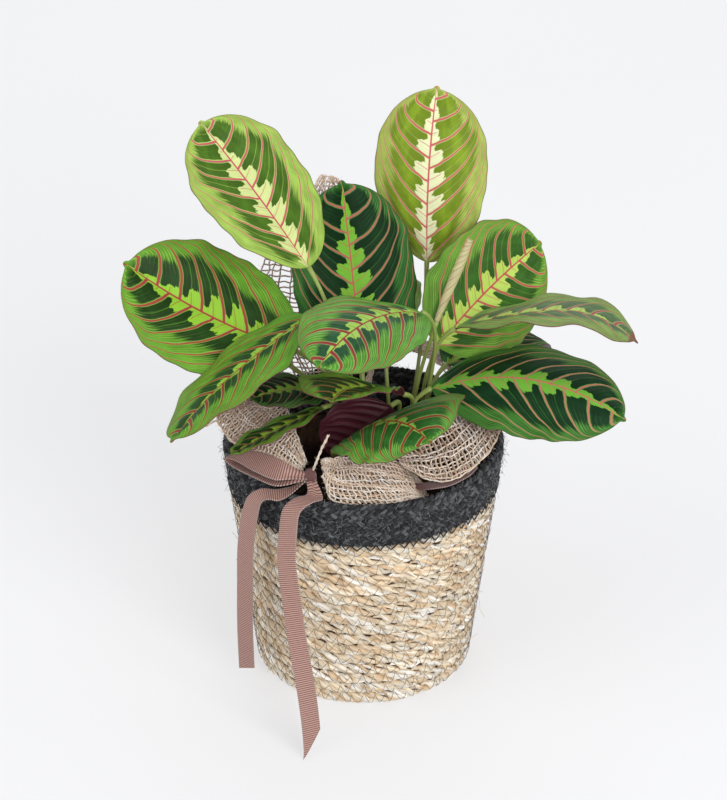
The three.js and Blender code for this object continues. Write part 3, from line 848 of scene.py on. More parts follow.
def strand_shape() -> NodeShape:
    """A tree that lays three strands about each ring of a path, as a rope or a plait.

    Lay Height and Lay Depth are how far a strand swings up and out, Beat how often it swings
    out while it swings up once, and Lead a share of a turn between the two.

    Returns:
        The tree, ready to run.
    """
    shape = NodeShape(
        "strands",
        Float=("Radius", "Lay Height", "Lay Depth", "Turns", "Beat", "Lead", "Unevenness", "Seed"),
        Int=("Sides",),
        Material=("Material",),
    )
    curve = shape.node("GeometryNodeMeshToCurve", {0: shape.given["Geometry"]}).outputs[0]
    unevenness = shape.number("Unevenness")
    strands = []
    for strand in range(3):
        place = shape.place()
        share = Expr(shape, shape.node("GeometryNodeSplineParameter").outputs["Factor"])
        tint = shape.carried("tint")
        sway = shape.noise(place, 28.0, 1.0) - 0.5
        turn = share * shape.number("Turns") * TURN + sway * 2.0 + tint * 9.0 + strand * THIRD_TURN
        rise = turn.math("SINE") * shape.number("Lay Height")
        swing = (turn * shape.number("Beat") + shape.number("Lead") * TURN).math("SINE")
        up = shape.vector(0.0, 0.0, rise + (shape.noise(place, 60.0, 2.0) - 0.5) * unevenness)
        away = shape.stretched(shape.outward(place), swing * shape.number("Lay Depth"))
        offset = shape.node("ShaderNodeVectorMath", {0: up, 1: away}).outputs[0]
        laid = shape.node("GeometryNodeSetPosition", {0: curve, "Offset": offset}).outputs[0]
        bar = shape.bar(laid, shape.number("Radius"), shape.given["Sides"])
        strands.append(shape.stored(bar, "tint", (tint * 3.0 + strand * 0.37).fraction()))
    seed = shape.vector(shape.number("Seed"), 0.0, 0.0)
    shifted = shape.node("ShaderNodeVectorMath", {0: shape.place(), 1: seed}).outputs[0]
    swell = shape.stretched(shape.normal(), (shape.noise(shifted, 130.0, 2.0) - 0.5) * unevenness)
    uneven = shape.node("GeometryNodeSetPosition", {0: shape.joined(*strands), "Offset": swell})
    shape.close(uneven.outputs[0], shape.given["Material"])
    return shape


def hair_shape() -> NodeShape:
    """A tree that scatters short bent hairs over a surface and keeps the surface."""
    shape = NodeShape(
        "hairs",
        Float=("Density", "Length", "Radius", "Lean", "Rise", "Facing", "Lowest"),
        Int=("Seed",),
        Material=("Hair Material",),
    )
    place = shape.place()
    compared = {0: shape.normal(), 1: shape.outward(place)}
    facing = shape.node("ShaderNodeVectorMath", compared, operation="DOT_PRODUCT").outputs["Value"]
    outer = Expr(shape, facing).math("GREATER_THAN", shape.number("Facing"))
    level = Expr(shape, shape.node("ShaderNodeSeparateXYZ", {0: place}).outputs[2])
    spots = shape.spots(outer * level.math("GREATER_THAN", shape.number("Lowest")))
    long, rise = shape.number("Length"), shape.number("Rise")
    bend = {
        "Resolution": 3,
        "Start": (0.0, 0.0, 0.0),
        "Middle": shape.vector(long * 0.4, long * 0.12, long * rise),
        "End": shape.vector(long, long * -0.15, long * rise * 0.3),
    }
    hair = shape.node("GeometryNodeCurveQuadraticBezier", bend).outputs[0]
    growth = {
        "Points": spots["Points"],
        "Instance": shape.bar(hair, shape.number("Radius"), 3),
        "Rotation": spots["Rotation"],
        "Scale": shape.chance(0.35, 1.2, 9),
    }
    grown = shape.node("GeometryNodeInstanceOnPoints", growth).outputs[0]
    lean = shape.number("Lean")
    ways = shape.vector(lean * -1.0, lean * -1.0, -3.14), shape.vector(lean, lean, 3.14)
    spread = {"Instances": grown, "Rotation": shape.chances(*ways, 5), "Local Space": True}
    turned = shape.node("GeometryNodeRotateInstances", spread).outputs[0]
    tinted = shape.stored(turned, "tint", shape.chance(0.0, 1.0, 3), "INSTANCE")
    marked = shape.stored(tinted, "hair", 1.0, "INSTANCE")
    both = shape.joined(marked, shape.given["Geometry"])
    real = shape.node("GeometryNodeRealizeInstances", {0: both}).outputs[0]
    dress = {"Geometry": real, "Selection": shape.carried("hair"), "Material": shape.given["Hair Material"]}
    dressed = shape.node("GeometryNodeSetMaterial", dress)
    shape.node("NodeGroupOutput", {0: dressed.outputs[0]})
    return shape


def crumb_shape() -> NodeShape:
    """A tree that strews crumbs of soil over a surface and keeps the surface."""
    shape = NodeShape("crumbs", Float=("Density", "Size"), Int=("Seed",), Material=("Material",))
    facing = Expr(shape, shape.node("ShaderNodeSeparateXYZ", {0: shape.normal()}).outputs[2])
    spots = shape.spots(facing.math("GREATER_THAN", 0.3))
    ball = {"Radius": shape.number("Size"), "Subdivisions": 1}
    growth = {
        "Points": spots["Points"],
        "Instance": shape.node("GeometryNodeMeshIcoSphere", ball).outputs[0],
        "Rotation": shape.chances((0.0, 0.0, 0.0), (6.0, 6.0, 6.0), 4),
        "Scale": shape.chances((0.3, 0.3, 0.2), (1.3, 1.0, 0.8), 2),
    }
    strewn = shape.node("GeometryNodeInstanceOnPoints", growth).outputs[0]
    crumbs = shape.node("GeometryNodeRealizeInstances", {0: strewn}).outputs[0]
    shape.close(shape.joined(crumbs, shape.given["Geometry"]), shape.given["Material"])
    return shape


def present(piece: bpy.types.Object, slot: str, *nodes: str) -> bpy.types.Object:
    """Puts a finished piece on the frame and reports it.

    Args:
        piece: the finished piece.
        slot: the name of a material slot; not used.
        nodes: the plain solids that it stands for.

    Returns:
        The piece.
    """
    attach(piece, BODY)
    if nodes:
        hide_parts(*nodes)
    piece.data.calc_loop_triangles()
    LOG.info("%s: %d triangles", piece.name, len(piece.data.loop_triangles))
    return piece


SHOOTS: dict[str, tuple[float, float]] = {
    "left_shoot": (2, 6),
    "back_shoot": (18, 14),
    "right_shoot": (34, 4),
    "front_shoot": (26, -8),
    "low_shoot": (8, -8),
}
POT_FLOOR = 5.3
SOIL_TOP = 104.3
BLADE_ROWS, BLADE_COLUMNS = 72, 44
BLADE_THICKNESS = 0.5
BLADE_CURL = -15
STALK_RADIUS, STALK_SIDES = 1.15, 12
CROWN_RADIUS, CROWN_SIDES = 5.0, 14


@dataclass(frozen=True)
class Leaf:
    """A blade on its stalk; the fields are those of the part's source."""

    base: Point
    tip: Point
    width: float
    roll: float
    arch: float
    bow: float
    twist: float
    fold: tuple[float, float]
    age: Age
    stalk: tuple[str, float, float, float, float]
    wave: float = 1.0
    droop: float = 0.0
    flare: float = 0.0

    def outline(self, along: np.ndarray) -> np.ndarray:
        """Share of the full width at a place from 0 at the base to 1 at the tip."""
        body = np.minimum(along / 0.98, 1.0)
        oval = np.maximum(1 - np.abs(2 * body**1.08 - 1) ** 2.4, 0) ** 0.53
        point = 0.1 * np.clip((1 - along) / 0.05, 0, 1) ** 0.45
        edge = 1 + self.wave * 0.012 * (np.sin(27 * along + 1) + np.sin(43 * along + 2))
        return np.maximum(np.maximum(oval, point * (along > 0.5)) * edge, 0.012)

    def blade_points(self, along: np.ndarray, across: np.ndarray) -> np.ndarray:
        """Points of the blade.

        Args:
            along: 0 at the base to 1 at the tip.
            across: -1 on the left margin to 1 on the right one.

        Returns:
            The points, in millimetres, in the shape of the arguments.
        """
        base = np.array(self.base, float)
        chord = np.array(self.tip, float) - base
        length = np.linalg.norm(chord)
        ahead = chord / length
        level = unit(np.array([0, 0, 1.0]) - ahead * ahead[2])
        roll = np.radians(self.roll)
        face = level * np.cos(roll) + np.cross(ahead, level) * np.sin(roll)
        right = np.cross(ahead, face)
        hump = (4 * along * (1 - along))[..., None]
        slope = (4 * (1 - 2 * along))[..., None]
        middle = base + ahead * (length * along)[..., None]
        middle = middle + face * hump * self.arch + right * hump * self.bow
        tangent = unit(ahead * length + face * slope * self.arch + right * slope * self.bow)
        over = unit(right - tangent * (tangent @ right)[..., None])
        out = np.cross(over, tangent)
        twist = (np.radians(self.twist) * (along - 0.5))[..., None]
        over, out = over * np.cos(twist) + out * np.sin(twist), out * np.cos(twist) - over * np.sin(twist)
        side = np.where(across < 0, -1.0, 1.0)
        reach = np.abs(across)
        share = self.outline(along)
        flare = self.flare * np.exp(-(((along - 0.62) / 0.17) ** 2)) * (side < 0)
        half = self.width / 2 * share * (1 + flare)
        fold = np.radians(np.where(across < 0, self.fold[0], self.fold[1]))
        curl = np.radians(BLADE_CURL)
        x = half * (np.sin(fold + curl * reach) - np.sin(fold)) / curl
        z = half * (np.cos(fold) - np.cos(fold + curl * reach)) / curl
        ripple = np.sin(2 * np.pi * (3 * along + 0.15 * side))
        z = z + self.wave * reach**2 * ripple * np.minimum(1, 1.5 * share)
        veins = vein_number(along, reach, side > 0)
        swell = np.minimum(1, reach * 5) * (1 - reach**4) * np.minimum(1, 2 * share)
        z = z + 0.42 * np.cos(2 * np.pi * veins) * swell - 0.6 * np.exp(-((reach * half / 2.2) ** 2))
        hang = self.droop * np.clip((along - 0.55) / 0.45, 0, 1) ** 2
        down = hang[..., None] * np.array([0.25, 0, 1.0])
        return middle + over * (side * x)[..., None] + out * z[..., None] - down

    def blade(self, name: str, finish: LeafFinish) -> bpy.types.Object:
        """Makes the blade, its upper side in its finish and its underside in that of its age."""
        v = 0.5 - 0.5 * np.cos(np.pi * np.linspace(0, 1, BLADE_ROWS))
        t = np.linspace(-1, 1, BLADE_COLUMNS + 1)
        t = np.sign(t) * np.abs(t) ** 0.9
        along, across = np.meshgrid(v, t, indexing="ij")
        uv = np.stack([(across + 1) / 2, along], axis=-1)
        upper = finish.material(f"{name}_finish")
        under = UNDERSIDES[self.age].material(f"{name}_underside")
        return closed_sheet(name, self.blade_points(along, across), BLADE_THICKNESS, [upper, under], uv)

    def stalk_path(self, ahead: np.ndarray, count: int = 26) -> np.ndarray:
        """The stalk's centre line from its shoot up to the blade.

        Args:
            ahead: the way the blade sets off from its base.
            count: how many points the line gets.

        Returns:
            The points, in millimetres.
        """
        shoot, bearing, lift, reach, pull = self.stalk
        turn = np.radians(bearing)
        x, y = SHOOTS[shoot]
        foot = np.array([x + 3 * np.cos(turn), y + 3 * np.sin(turn), SOIL_TOP + 3])
        stop = np.array(self.base, float)
        rise = foot + lift * np.array([0.15 * np.cos(turn), 0.15 * np.sin(turn), 1])
        entry = unit(ahead + np.array([0, 0, pull]))
        draw = stop - ahead * 0.45 - entry * reach
        k = np.linspace(0, 1, count)[:, None]
        return foot * (1 - k) ** 3 + 3 * rise * k * (1 - k) ** 2 + 3 * draw * k**2 * (1 - k) + stop * k**3


# Base, tip, width, roll, arch, bow, twist, fold and age of each blade; then its stalk, which is the
# shoot, its bearing, lift, reach and pull; then wave, droop and flare where they matter.
LEAVES: dict[str, Leaf] = {
    "leaf_top_left": Leaf(
        (-32, 14, 257), (-96, 64, 327), 70, -14, -1, 2, 22, (13, 13), Age.YOUNG,
        ("left_shoot", 150, 70, 40, 0.35), 1.1,
    ),
    "leaf_top_right": Leaf(
        (38, 66, 232), (44, 110, 328), 70, -6, 10, 0, -22, (-3, 0), Age.YOUNG,
        ("back_shoot", 0, 60, 50, 0.35), 0.5,
    ),
    "leaf_centre": Leaf(
        (-1, 14, 186), (-13, 74, 283), 76, 6, -5, 2, -15, (12, 14), Age.OLD,
        ("back_shoot", 200, 40, 30, 0.35),
    ),
    "leaf_left": Leaf(
        (-40, 0, 209), (-141, 31, 251), 80, -31, -12, 0, 2, (12, 19), Age.MIDDLE,
        ("left_shoot", 175, 60, 40, 0.35),
    ),
    "leaf_left_drooping": Leaf(
        (-33, -15, 240), (-109, -72, 196), 62, 14, 0, 6, -13, (5, 3), Age.MIDDLE,
        ("left_shoot", 230, 70, 30, 0.35), 1.4, 6.0,
    ),
    "leaf_front": Leaf(
        (34, -10, 240), (-26, -76, 241), 66, -10, 10, 5, 17, (1, 0), Age.MIDDLE,
        ("front_shoot", 60, 60, 30, 0.35),
    ),
    "leaf_right": Leaf(
        (44, 18, 201), (107, 73, 242), 76, 56, 1, -3, -16, (17, 3), Age.YOUNG,
        ("right_shoot", 90, 45, 25, 0.35), 1.4,
    ),
    "leaf_far_right": Leaf(
        (54, 5, 221), (164, -10, 236), 52, -9, 8, -1, -13, (7, 9), Age.MIDDLE,
        ("right_shoot", 0, 50, 30, 0.35), 1.6, 16.0,
    ),
    "leaf_low_right": Leaf(
        (40, -8, 188), (153, -35, 182), 71, 20, 11, -10, -6, (-10, -16), Age.OLD,
        ("front_shoot", 340, 40, 30, 0.35),
    ),
    "leaf_front_low": Leaf(
        (23, -24, 193), (-18, -66, 213), 59, 10, 4, 11, 7, (15, 14), Age.MIDDLE,
        ("front_shoot", 200, 50, 16, -0.1),
    ),
    "leaf_over_rim": Leaf(
        (-17, -43, 167), (38, -89, 200), 70, -7, 13, -8, -30, (8, -19), Age.MIDDLE,
        ("low_shoot", 250, 34, 10, 0.35), 1.2, 0.0, 0.46,
    ),
    "leaf_small_left": Leaf(
        (-24, -27, 186), (-77, -63, 176), 26, 13, 1, 0, 6, (11, 7), Age.MIDDLE,
        ("left_shoot", 215, 50, 22, 0.35),
    ),
    "leaf_turned_over": Leaf(
        (16, -19, 182), (-19, -26, 150), 52, 90, 0, 0, 0, (5, 5), Age.OLD,
        ("low_shoot", 350, 70, 12, 0.3),
    ),
    "leaf_shaded_left": Leaf(
        (-22, -14, 190), (-66, -34, 196), 40, 0, 4, 0, 0, (5, 5), Age.OLD,
        ("left_shoot", 230, 45, 18, 0.35),
    ),
    "leaf_back_right": Leaf(
        (50, 34, 180), (114, 92, 178), 54, 0, 6, 0, 0, (5, 5), Age.OLD,
        ("right_shoot", 60, 40, 25, 0.35), 1.0, 22.0,
    ),
    "leaf_back_left": Leaf(
        (-44, 22, 186), (-122, 60, 190), 54, 0, 6, 0, 0, (5, 5), Age.OLD,
        ("left_shoot", 120, 50, 30, 0.35),
    ),
    "leaf_back": Leaf(
        (14, 36, 194), (20, 112, 202), 36, 0, 6, 0, 0, (5, 5), Age.MIDDLE,
        ("back_shoot", 90, 40, 30, 0.35),
    ),
}
FINISHES: dict[str, LeafFinish] = {
    "leaf_top_left": LIME,
    "leaf_top_right": OLIVE,
    "leaf_centre": DEEP,
    "leaf_left_drooping": DROOPING,
    "leaf_right": PASTEL,
    "leaf_front": SOFT_GREEN,
    "leaf_far_right": WAVY,
    "leaf_low_right": BROAD,
    "leaf_over_rim": RIM_LEAF,
    "leaf_turned_over": DEEP,
    "leaf_shaded_left": DEEP,
    "leaf_back_right": DEEP,
    "leaf_back_left": DEEP,
}


class Plant:
    """The leaves, their stalks, the rolled leaf and the soil in its pot."""

    rolled_base: Point = (43, 10, 223)
    rolled_tip: Point = (62, 20, 272)
    rolled_stalk = ("right_shoot", 150, 60, 30, 0.35)
    rolled_turns = 1.8
    rolled_girth = 3.1
    rolled_thickness = 0.35
    soil_mound = 1.5
    soil_rings = 40
    soil_sides = 96
    soil_radius = 56.8
    soil_foot = 43.0

    def blades(self) -> None:
        """Makes every open leaf."""
        for name, leaf in LEAVES.items():
            present(leaf.blade(f"{name}_blade", FINISHES.get(name, GREEN)), leaf.age.value, name)

    def stalk(self, leaf: Leaf, straight: bool) -> Shell:
        """One stalk, in its sheath and thick again at the blade.

        Args:
            leaf: the leaf that it carries.
            straight: whether the leaf sets off straight to its tip, as the rolled one does.

        Returns:
            Its points, its faces and its UV places.
        """
        if straight:
            ahead = unit(np.array(leaf.tip, float) - leaf.base)
        else:
            ahead = unit(leaf.blade_points(np.array([0.04]), np.array([0.0]))[0] - leaf.base)
        path = leaf.stalk_path(ahead)
        k = np.linspace(0, 1, len(path))
        run = np.linalg.norm(path[-1] - path, axis=1)
        sheath = 1.2 * np.clip(1 - k / 0.5, 0, 1) ** 2
        joint = 0.45 * np.clip(1 - run / 9, 0, 1) ** 0.5
        return tube(path, STALK_RADIUS + sheath + joint, STALK_SIDES)

    def crown(self, shoot: str) -> Shell:
        """The thick foot from which a shoot's stalks rise."""
        x, y = SHOOTS[shoot]
        axis = np.array([[x, y, SOIL_TOP + z] for z in np.linspace(-6.5, 6.8, 9)])
        radii = CROWN_RADIUS * np.sqrt(np.clip(1 - np.linspace(-0.97, 0.97, 9) ** 2, 0.02, 1))
        points, faces, uv = tube(axis, radii, CROWN_SIDES)
        return points, faces, uv * 0.1

    def stalks(self) -> None:
        """Makes the stalks of each shoot, on their crown."""
        finish = StalkFinish().material("stalk_finish")
        rolled = Leaf(
            self.rolled_base, self.rolled_tip, 6, 0, 0, 0, 0, (0, 0), Age.YOUNG, self.rolled_stalk
        )
        for shoot in SHOOTS:
            carried = [leaf for leaf in [*LEAVES.values(), rolled] if leaf.stalk[0] == shoot]
            parts = [self.stalk(leaf, leaf is rolled) for leaf in carried]
            points, faces, uv = merged([*parts, self.crown(shoot)])
            present(make_piece(f"{shoot}_stalks", points, faces, [finish], uv), "stalk", shoot)

    def rolled_leaf(self) -> None:
        """Makes the unopened leaf, a blade wound round itself with its margin spiralling up."""
        base, tip = np.array(self.rolled_base, float), np.array(self.rolled_tip, float)
        ahead = unit(tip - base)
        side = unit(np.cross(ahead, [0, 0, 1.0]))
        other = np.cross(ahead, side)
        rows, columns = 60, 61
        k, wind = np.meshgrid(np.linspace(0, 1, rows), np.linspace(0, 1, columns), indexing="ij")
        girth = self.rolled_girth * (0.3 + 0.7 * np.sin(np.pi * (0.08 + 0.80 * k)))
        turn = 2 * np.pi * self.rolled_turns * wind + 1.5 * k + 0.9
        radius = girth * (0.55 + 0.45 * wind)
        middle = base + ahead * (k * np.linalg.norm(tip - base))[..., None]
        middle = middle + side * (radius * np.cos(turn))[..., None]
        middle = middle + other * (radius * np.sin(turn))[..., None]
        uv = np.stack([0.5 + wind / 2, k], axis=-1)
        outside = ROLLED_OUTSIDE.material("rolled_leaf_outside")
        inside = ROLLED_INSIDE.material("rolled_leaf_inside")
        piece = closed_sheet("rolled_leaf_blade", middle, self.rolled_thickness, [outside, inside], uv)
        present(piece, Age.YOUNG.value, "rolled_leaf")

    def soil(self) -> None:
        """Makes the soil, uneven and crumbly on top, plain below."""
        finish = SOIL.material("soil_finish")
        rings, sides = self.soil_rings, self.soil_sides
        r = np.linspace(0, 1, rings)
        turn = 2 * np.pi * np.arange(sides) / sides
        points = [[0, 0, SOIL_TOP + self.soil_mound]]
        for k in range(1, rings):
            x, y = self.soil_radius * r[k] * np.cos(turn), self.soil_radius * r[k] * np.sin(turn)
            lumps = 0.7 * np.sin(x * 0.61 + 1.3 * np.sin(y * 0.43)) * np.cos(y * 0.57)
            lumps = lumps + 0.4 * np.sin(x * 1.7 + y)
            mound = self.soil_mound * (1 - r[k] ** 2)
            z = SOIL_TOP + mound + lumps * min(1, 6 * (1 - r[k])) - 0.4
            points += np.stack([x, y, z], axis=1).tolist()
        foot = POT_FLOOR + 2.2
        points += [[self.soil_foot * np.cos(a), self.soil_foot * np.sin(a), foot] for a in turn]
        points.append([0, 0, foot])
        faces = [(0, 1 + j, 1 + (j + 1) % sides) for j in range(sides)]
        for k in range(rings - 1):
            a, b = 1 + k * sides, 1 + (k + 1) * sides
            faces += [(a + j, b + j, b + (j + 1) % sides, a + (j + 1) % sides) for j in range(sides)]
        last = 1 + (rings - 1) * sides
        faces += [(last + j, len(points) - 1, last + (j + 1) % sides) for j in range(sides)]
        surface = make_piece("soil_bed", np.array(points), faces, [finish])
        values = {"Density": 130000.0, "Size": 1.4 * MM, "Seed": 11, "Material": finish}
        present(crumb_shape().run(surface, values), "soil", "soil")

    def pot(self) -> None:
        """Gives the nursery pot its moulded plastic."""
        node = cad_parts["nursery_pot"]
        node.data.materials.clear()
        node.data.materials.append(POT_PLASTIC.material("pot_finish"))

    def build(self) -> None:
        """Makes the whole plant."""
        self.blades()
        self.stalks()
        self.rolled_leaf()
        self.soil()
        self.pot()


@dataclass(frozen=True)
class Basket:
    """The straw basket with its plaited rim band; the sizes are those of the part's source."""

    height: float = 152.0
    top_radius: float = 84.0
    base_radius: float = 64.5
    band_height: float = 28.5
    coils: int = 16
    coil_points: int = 170
    coil_inset: float = 3.1
    core_inset: float = 6.6
    core_width: float = 3.8
    thread_knots: int = 124
    band_zigzags: int = 76
    plait_points: int = 460
    inner_plait_points: int = 340
    lathe_sides: int = 96
    floor_radius: float = 60.0
    floor_level: float = 4.6
    floor_step: float = 7.0

    @property
    def wall_top(self) -> float:
        """The height at which the band begins."""
        return self.height - self.band_height

    @property
    def pitch(self) -> float:
        """The height of one coil."""
        return self.wall_top / self.coils

    def radius(self, z: float | np.ndarray) -> float | np.ndarray:
        """The outside's radius at a height."""
        return self.base_radius + (self.top_radius - self.base_radius) * z / self.height

    def ring(self, radius: float, z: float, count: int, start: float = 0.0) -> np.ndarray:
        """A level ring of points."""
        turn = start + 2 * np.pi * np.arange(count) / count
        return np.stack([radius * np.cos(turn), radius * np.sin(turn), np.full(count, z)], axis=1)

    def lathe(self, name: str, profile: Profile, material: bpy.types.Material) -> bpy.types.Object:
        """A closed ring turned from a profile of radius and height, anticlockwise."""
        points = np.concatenate([self.ring(r, z, self.lathe_sides) for r, z in profile])
        return make_piece(name, points, bands(len(profile), self.lathe_sides, closed=True), [material])

    def wall(self) -> None:
        """Coils of straw, three loose strands to a coil, over a core painted dark as the shade between and
        behind the strands, and the floor.
        """
        strands = strand_shape()
        levels = [(k + 0.5) * self.pitch for k in range(self.coils)]
        rings = [
            self.ring(self.radius(z) - self.coil_inset, z, self.coil_points, 0.7 * k)
            for k, z in enumerate(levels)
        ]
        tints = np.random.default_rng(4).uniform(0, 1, self.coils)
        path = lines_mesh("straw_coils", rings, tints, closed=True)
        values = {
            "Radius": 1.7 * MM, "Sides": 7, "Lay Height": 2.3 * MM, "Lay Depth": 1.3 * MM,
            "Turns": 14.0, "Beat": 1.0, "Lead": 0.75, "Unevenness": 3.0 * MM, "Seed": 0.3,
            "Material": STRAW.material("straw_finish"),
        }
        wisps = {
            "Density": 52000.0, "Length": 11.0 * MM, "Radius": 0.14 * MM, "Lean": 0.1, "Rise": 0.12,
            "Facing": 0.96, "Lowest": 13.0 * MM, "Seed": 31,
            "Hair Material": WISP.material("wisp_finish"),
        }
        present(hair_shape().run(strands.run(path, values), wisps), "straw", "straw_basket")
        rings = [ring + [0, 0, 0.6] for ring in rings]
        path = lines_mesh("straw_splints", rings, tints[::-1], closed=True)
        thin = {
            "Radius": 1.0 * MM, "Sides": 5, "Lay Height": 3.5 * MM, "Lay Depth": 1.9 * MM,
            "Turns": 19.0, "Unevenness": 3.6 * MM, "Seed": 5.1,
        }
        present(strands.run(path, values | thin), "straw")
        # The core sits just inside the strands, painted dark as the shade between the coils and on the
        # inside of the wall.
        low, high = (self.radius(z) - self.core_inset for z in (2.0, self.wall_top))
        core = [
            (low, 2.0), (low + self.core_width, 2.0),
            (high + self.core_width, self.wall_top), (high, self.wall_top),
        ]
        present(self.lathe("straw_core", core, STRAW_GAP_SHADE.material("core_finish")), "straw")
        self.floor(strands, values)

    def floor(self, strands: NodeShape, wall: dict[str, object]) -> None:
        """Flatter rings of straw over a thin disc painted dark as the shade between them.

        Args:
            strands: the tree that lays the strands.
            wall: what its inputs get for the wall's coils.
        """
        steps = np.arange(5.0, self.floor_radius + 1.0, self.floor_step)
        rings = [self.ring(r, self.floor_level, max(16, int(r * 2.2)), r) for r in steps]
        path = lines_mesh("straw_floor", rings, np.linspace(0, 1, len(rings)), closed=True)
        flatter = {
            "Lay Height": 0.7 * MM, "Lay Depth": 1.9 * MM, "Radius": 2.1 * MM,
            "Unevenness": 0.8 * MM, "Turns": 3.0,
        }
        present(strands.run(path, wall | flatter), "straw")
        disc = [(0.05, 4.0), (self.floor_radius, 4.0), (self.floor_radius, 5.0), (0.05, 5.0)]
        present(self.lathe("straw_floor_core", disc, STRAW_GAP_SHADE.material("disc_shade_finish")), "straw")

    def threads(self) -> None:
        """Thin dark thread that zigzags over every coil."""
        rng = np.random.default_rng(8)
        knots = self.thread_knots
        lines = []
        for coil in range(self.coils):
            spots = (np.arange(knots) + rng.uniform(-0.42, 0.42, knots)) / knots
            heights = np.where(np.arange(knots) % 2, 0.97, 0.03) + rng.uniform(-0.22, 0.22, knots)
            steps = np.arange(knots * 4) / 4
            spots, heights = np.append(spots, spots[0] + 1), np.append(heights, heights[0])
            turn = 2 * np.pi * (np.interp(steps, np.arange(knots + 1), spots) + 0.37 * coil)
            share = np.interp(steps, np.arange(knots + 1), heights)
            z = np.maximum((coil + share) * self.pitch, 0.9)
            dip = 1.4 * np.clip(np.sin(turn * 17 + coil) + np.sin(turn * 29 + 2 * coil) - 0.9, 0, 1)
            r = self.radius(z) - 1.3 - dip + 2.1 * np.sin(np.pi * np.clip(share, 0, 1)) ** 0.6
            lines.append(np.stack([r * np.cos(turn), r * np.sin(turn), z], axis=1))
        path = lines_mesh("coil_thread", lines, rng.uniform(0, 1, len(lines)), closed=True)
        values = {"Radius": 0.14 * MM, "Sides": 3, "Material": DARK_THREAD.material("thread_finish")}
        present(cord_shape().run(path, values), "straw")

    def stitches(self) -> None:
        """Zigzag stitches of dyed jute along the lower edge of the band."""
        t = np.arange(self.band_zigzags * 6) / 6
        saw = np.abs((t % 1) * 2 - 1)
        z = self.wall_top - 2.6 + 4.6 * saw
        r = self.radius(z) + 0.5 + 0.4 * saw
        turn = 2 * np.pi * t / self.band_zigzags + 0.01 * np.sin(t * 2.1)
        stitch = np.stack([r * np.cos(turn), r * np.sin(turn), z], axis=1)
        path = lines_mesh("band_stitches", [stitch], [0.2], closed=True)
        values = {"Radius": 0.42 * MM, "Sides": 5, "Material": DYED_JUTE.material("stitch_finish")}
        present(cord_shape().run(path, values), "dyed_jute")

    def band(self) -> None:
        """Plaits of dyed jute outside, over the rim and inside, with hairs standing off them."""
        low, high = self.wall_top, self.height
        outer = [(self.radius(z) - 1.7, z) for z in np.linspace(low + 2.9, high - 5.4, 5)]
        rim = (self.top_radius - 4.0, high - 2.7)
        inner = [(self.radius(z) - 6.2, z) for z in np.linspace(low + 3.4, high - 5.4, 4)]
        values = {
            "Radius": 1.3 * MM, "Sides": 6, "Lay Height": 2.0 * MM, "Lay Depth": 1.1 * MM,
            "Turns": 46.0, "Beat": 2.0, "Lead": 0.0, "Unevenness": 0.9 * MM, "Seed": 1.7,
            "Material": DYED_JUTE.material("band_finish"),
        }
        plaits = strand_shape()
        rings = [self.ring(r, z, self.plait_points, 0.21 * k) for k, (r, z) in enumerate([*outer, rim])]
        path = lines_mesh(RIM, rings, np.linspace(0.1, 0.9, len(rings)), closed=True)
        hair = {
            "Density": 110000.0, "Length": 5.6 * MM, "Radius": 0.08 * MM, "Lean": 0.25, "Rise": 0.18,
            "Facing": 0.3, "Lowest": 0.0, "Seed": 21,
            "Hair Material": DYED_HAIR.material("band_hair"),
        }
        present(hair_shape().run(plaits.run(path, values), hair), "dyed_jute", "rim_band")
        rings = [self.ring(r, z, self.inner_plait_points, 0.3 * k) for k, (r, z) in enumerate(inner)]
        path = lines_mesh("rim_plaits_inside", rings, np.linspace(0.1, 0.9, len(rings)), closed=True)
        values |= {"Radius": 1.6 * MM, "Lay Height": 2.4 * MM, "Turns": 38.0}
        present(plaits.run(path, values), "dyed_jute")
        # The band's core, painted near black as the shade in the gaps between the plaits.
        r0, r1 = self.radius(low) - 5.0, self.top_radius - 5.2
        core = [(r0, low + 1.0), (r0 + 2.6, low + 1.0), (r1 + 2.4, high - 3.5), (r1, high - 3.5)]
        present(self.lathe("band_core", core, BAND_GAP_SHADE.material("band_core_finish")), "dyed_jute")

    def build(self) -> None:
        """Makes the whole basket."""
        self.wall()
        self.threads()
        self.stitches()
        self.band()


class Held(Enum):
    GATHERED = "gathered"
    LAID = "laid"
    FOLDED = "folded"
    HUNG = "hung"


@dataclass(frozen=True)
class Strip:
    """A strip of cloth between two edges, station by station, outer edge first."""

    stations: Edges
    flat: tuple[float, float]
    held: Held
    pitch: float = 2.4
    lean: float = 0.0
    layers: int = 1

    def grid(self, rows: int, columns: int) -> np.ndarray:
        """Points of the strip, rows x columns x 3, in millimetres."""
        outer, inner = (
            smoothed(np.array([pair[k] for pair in self.stations], float), rows) for k in (0, 1)
        )
        share = np.linspace(0, 1, columns)[None, :, None]
        return outer[:, None] * (1 - share) + inner[:, None] * share

    def size(self) -> tuple[float, float]:
        """The strip's mean width and its length, in millimetres."""
        grid = self.grid(80, 2)
        width = np.linalg.norm(grid[:, 1] - grid[:, 0], axis=1).mean()
        return float(width), float(np.linalg.norm(np.diff(grid.mean(axis=1), axis=0), axis=1).sum())

    def declare(self, piece: bpy.types.Object) -> None:
        """Does nothing with the piece."""


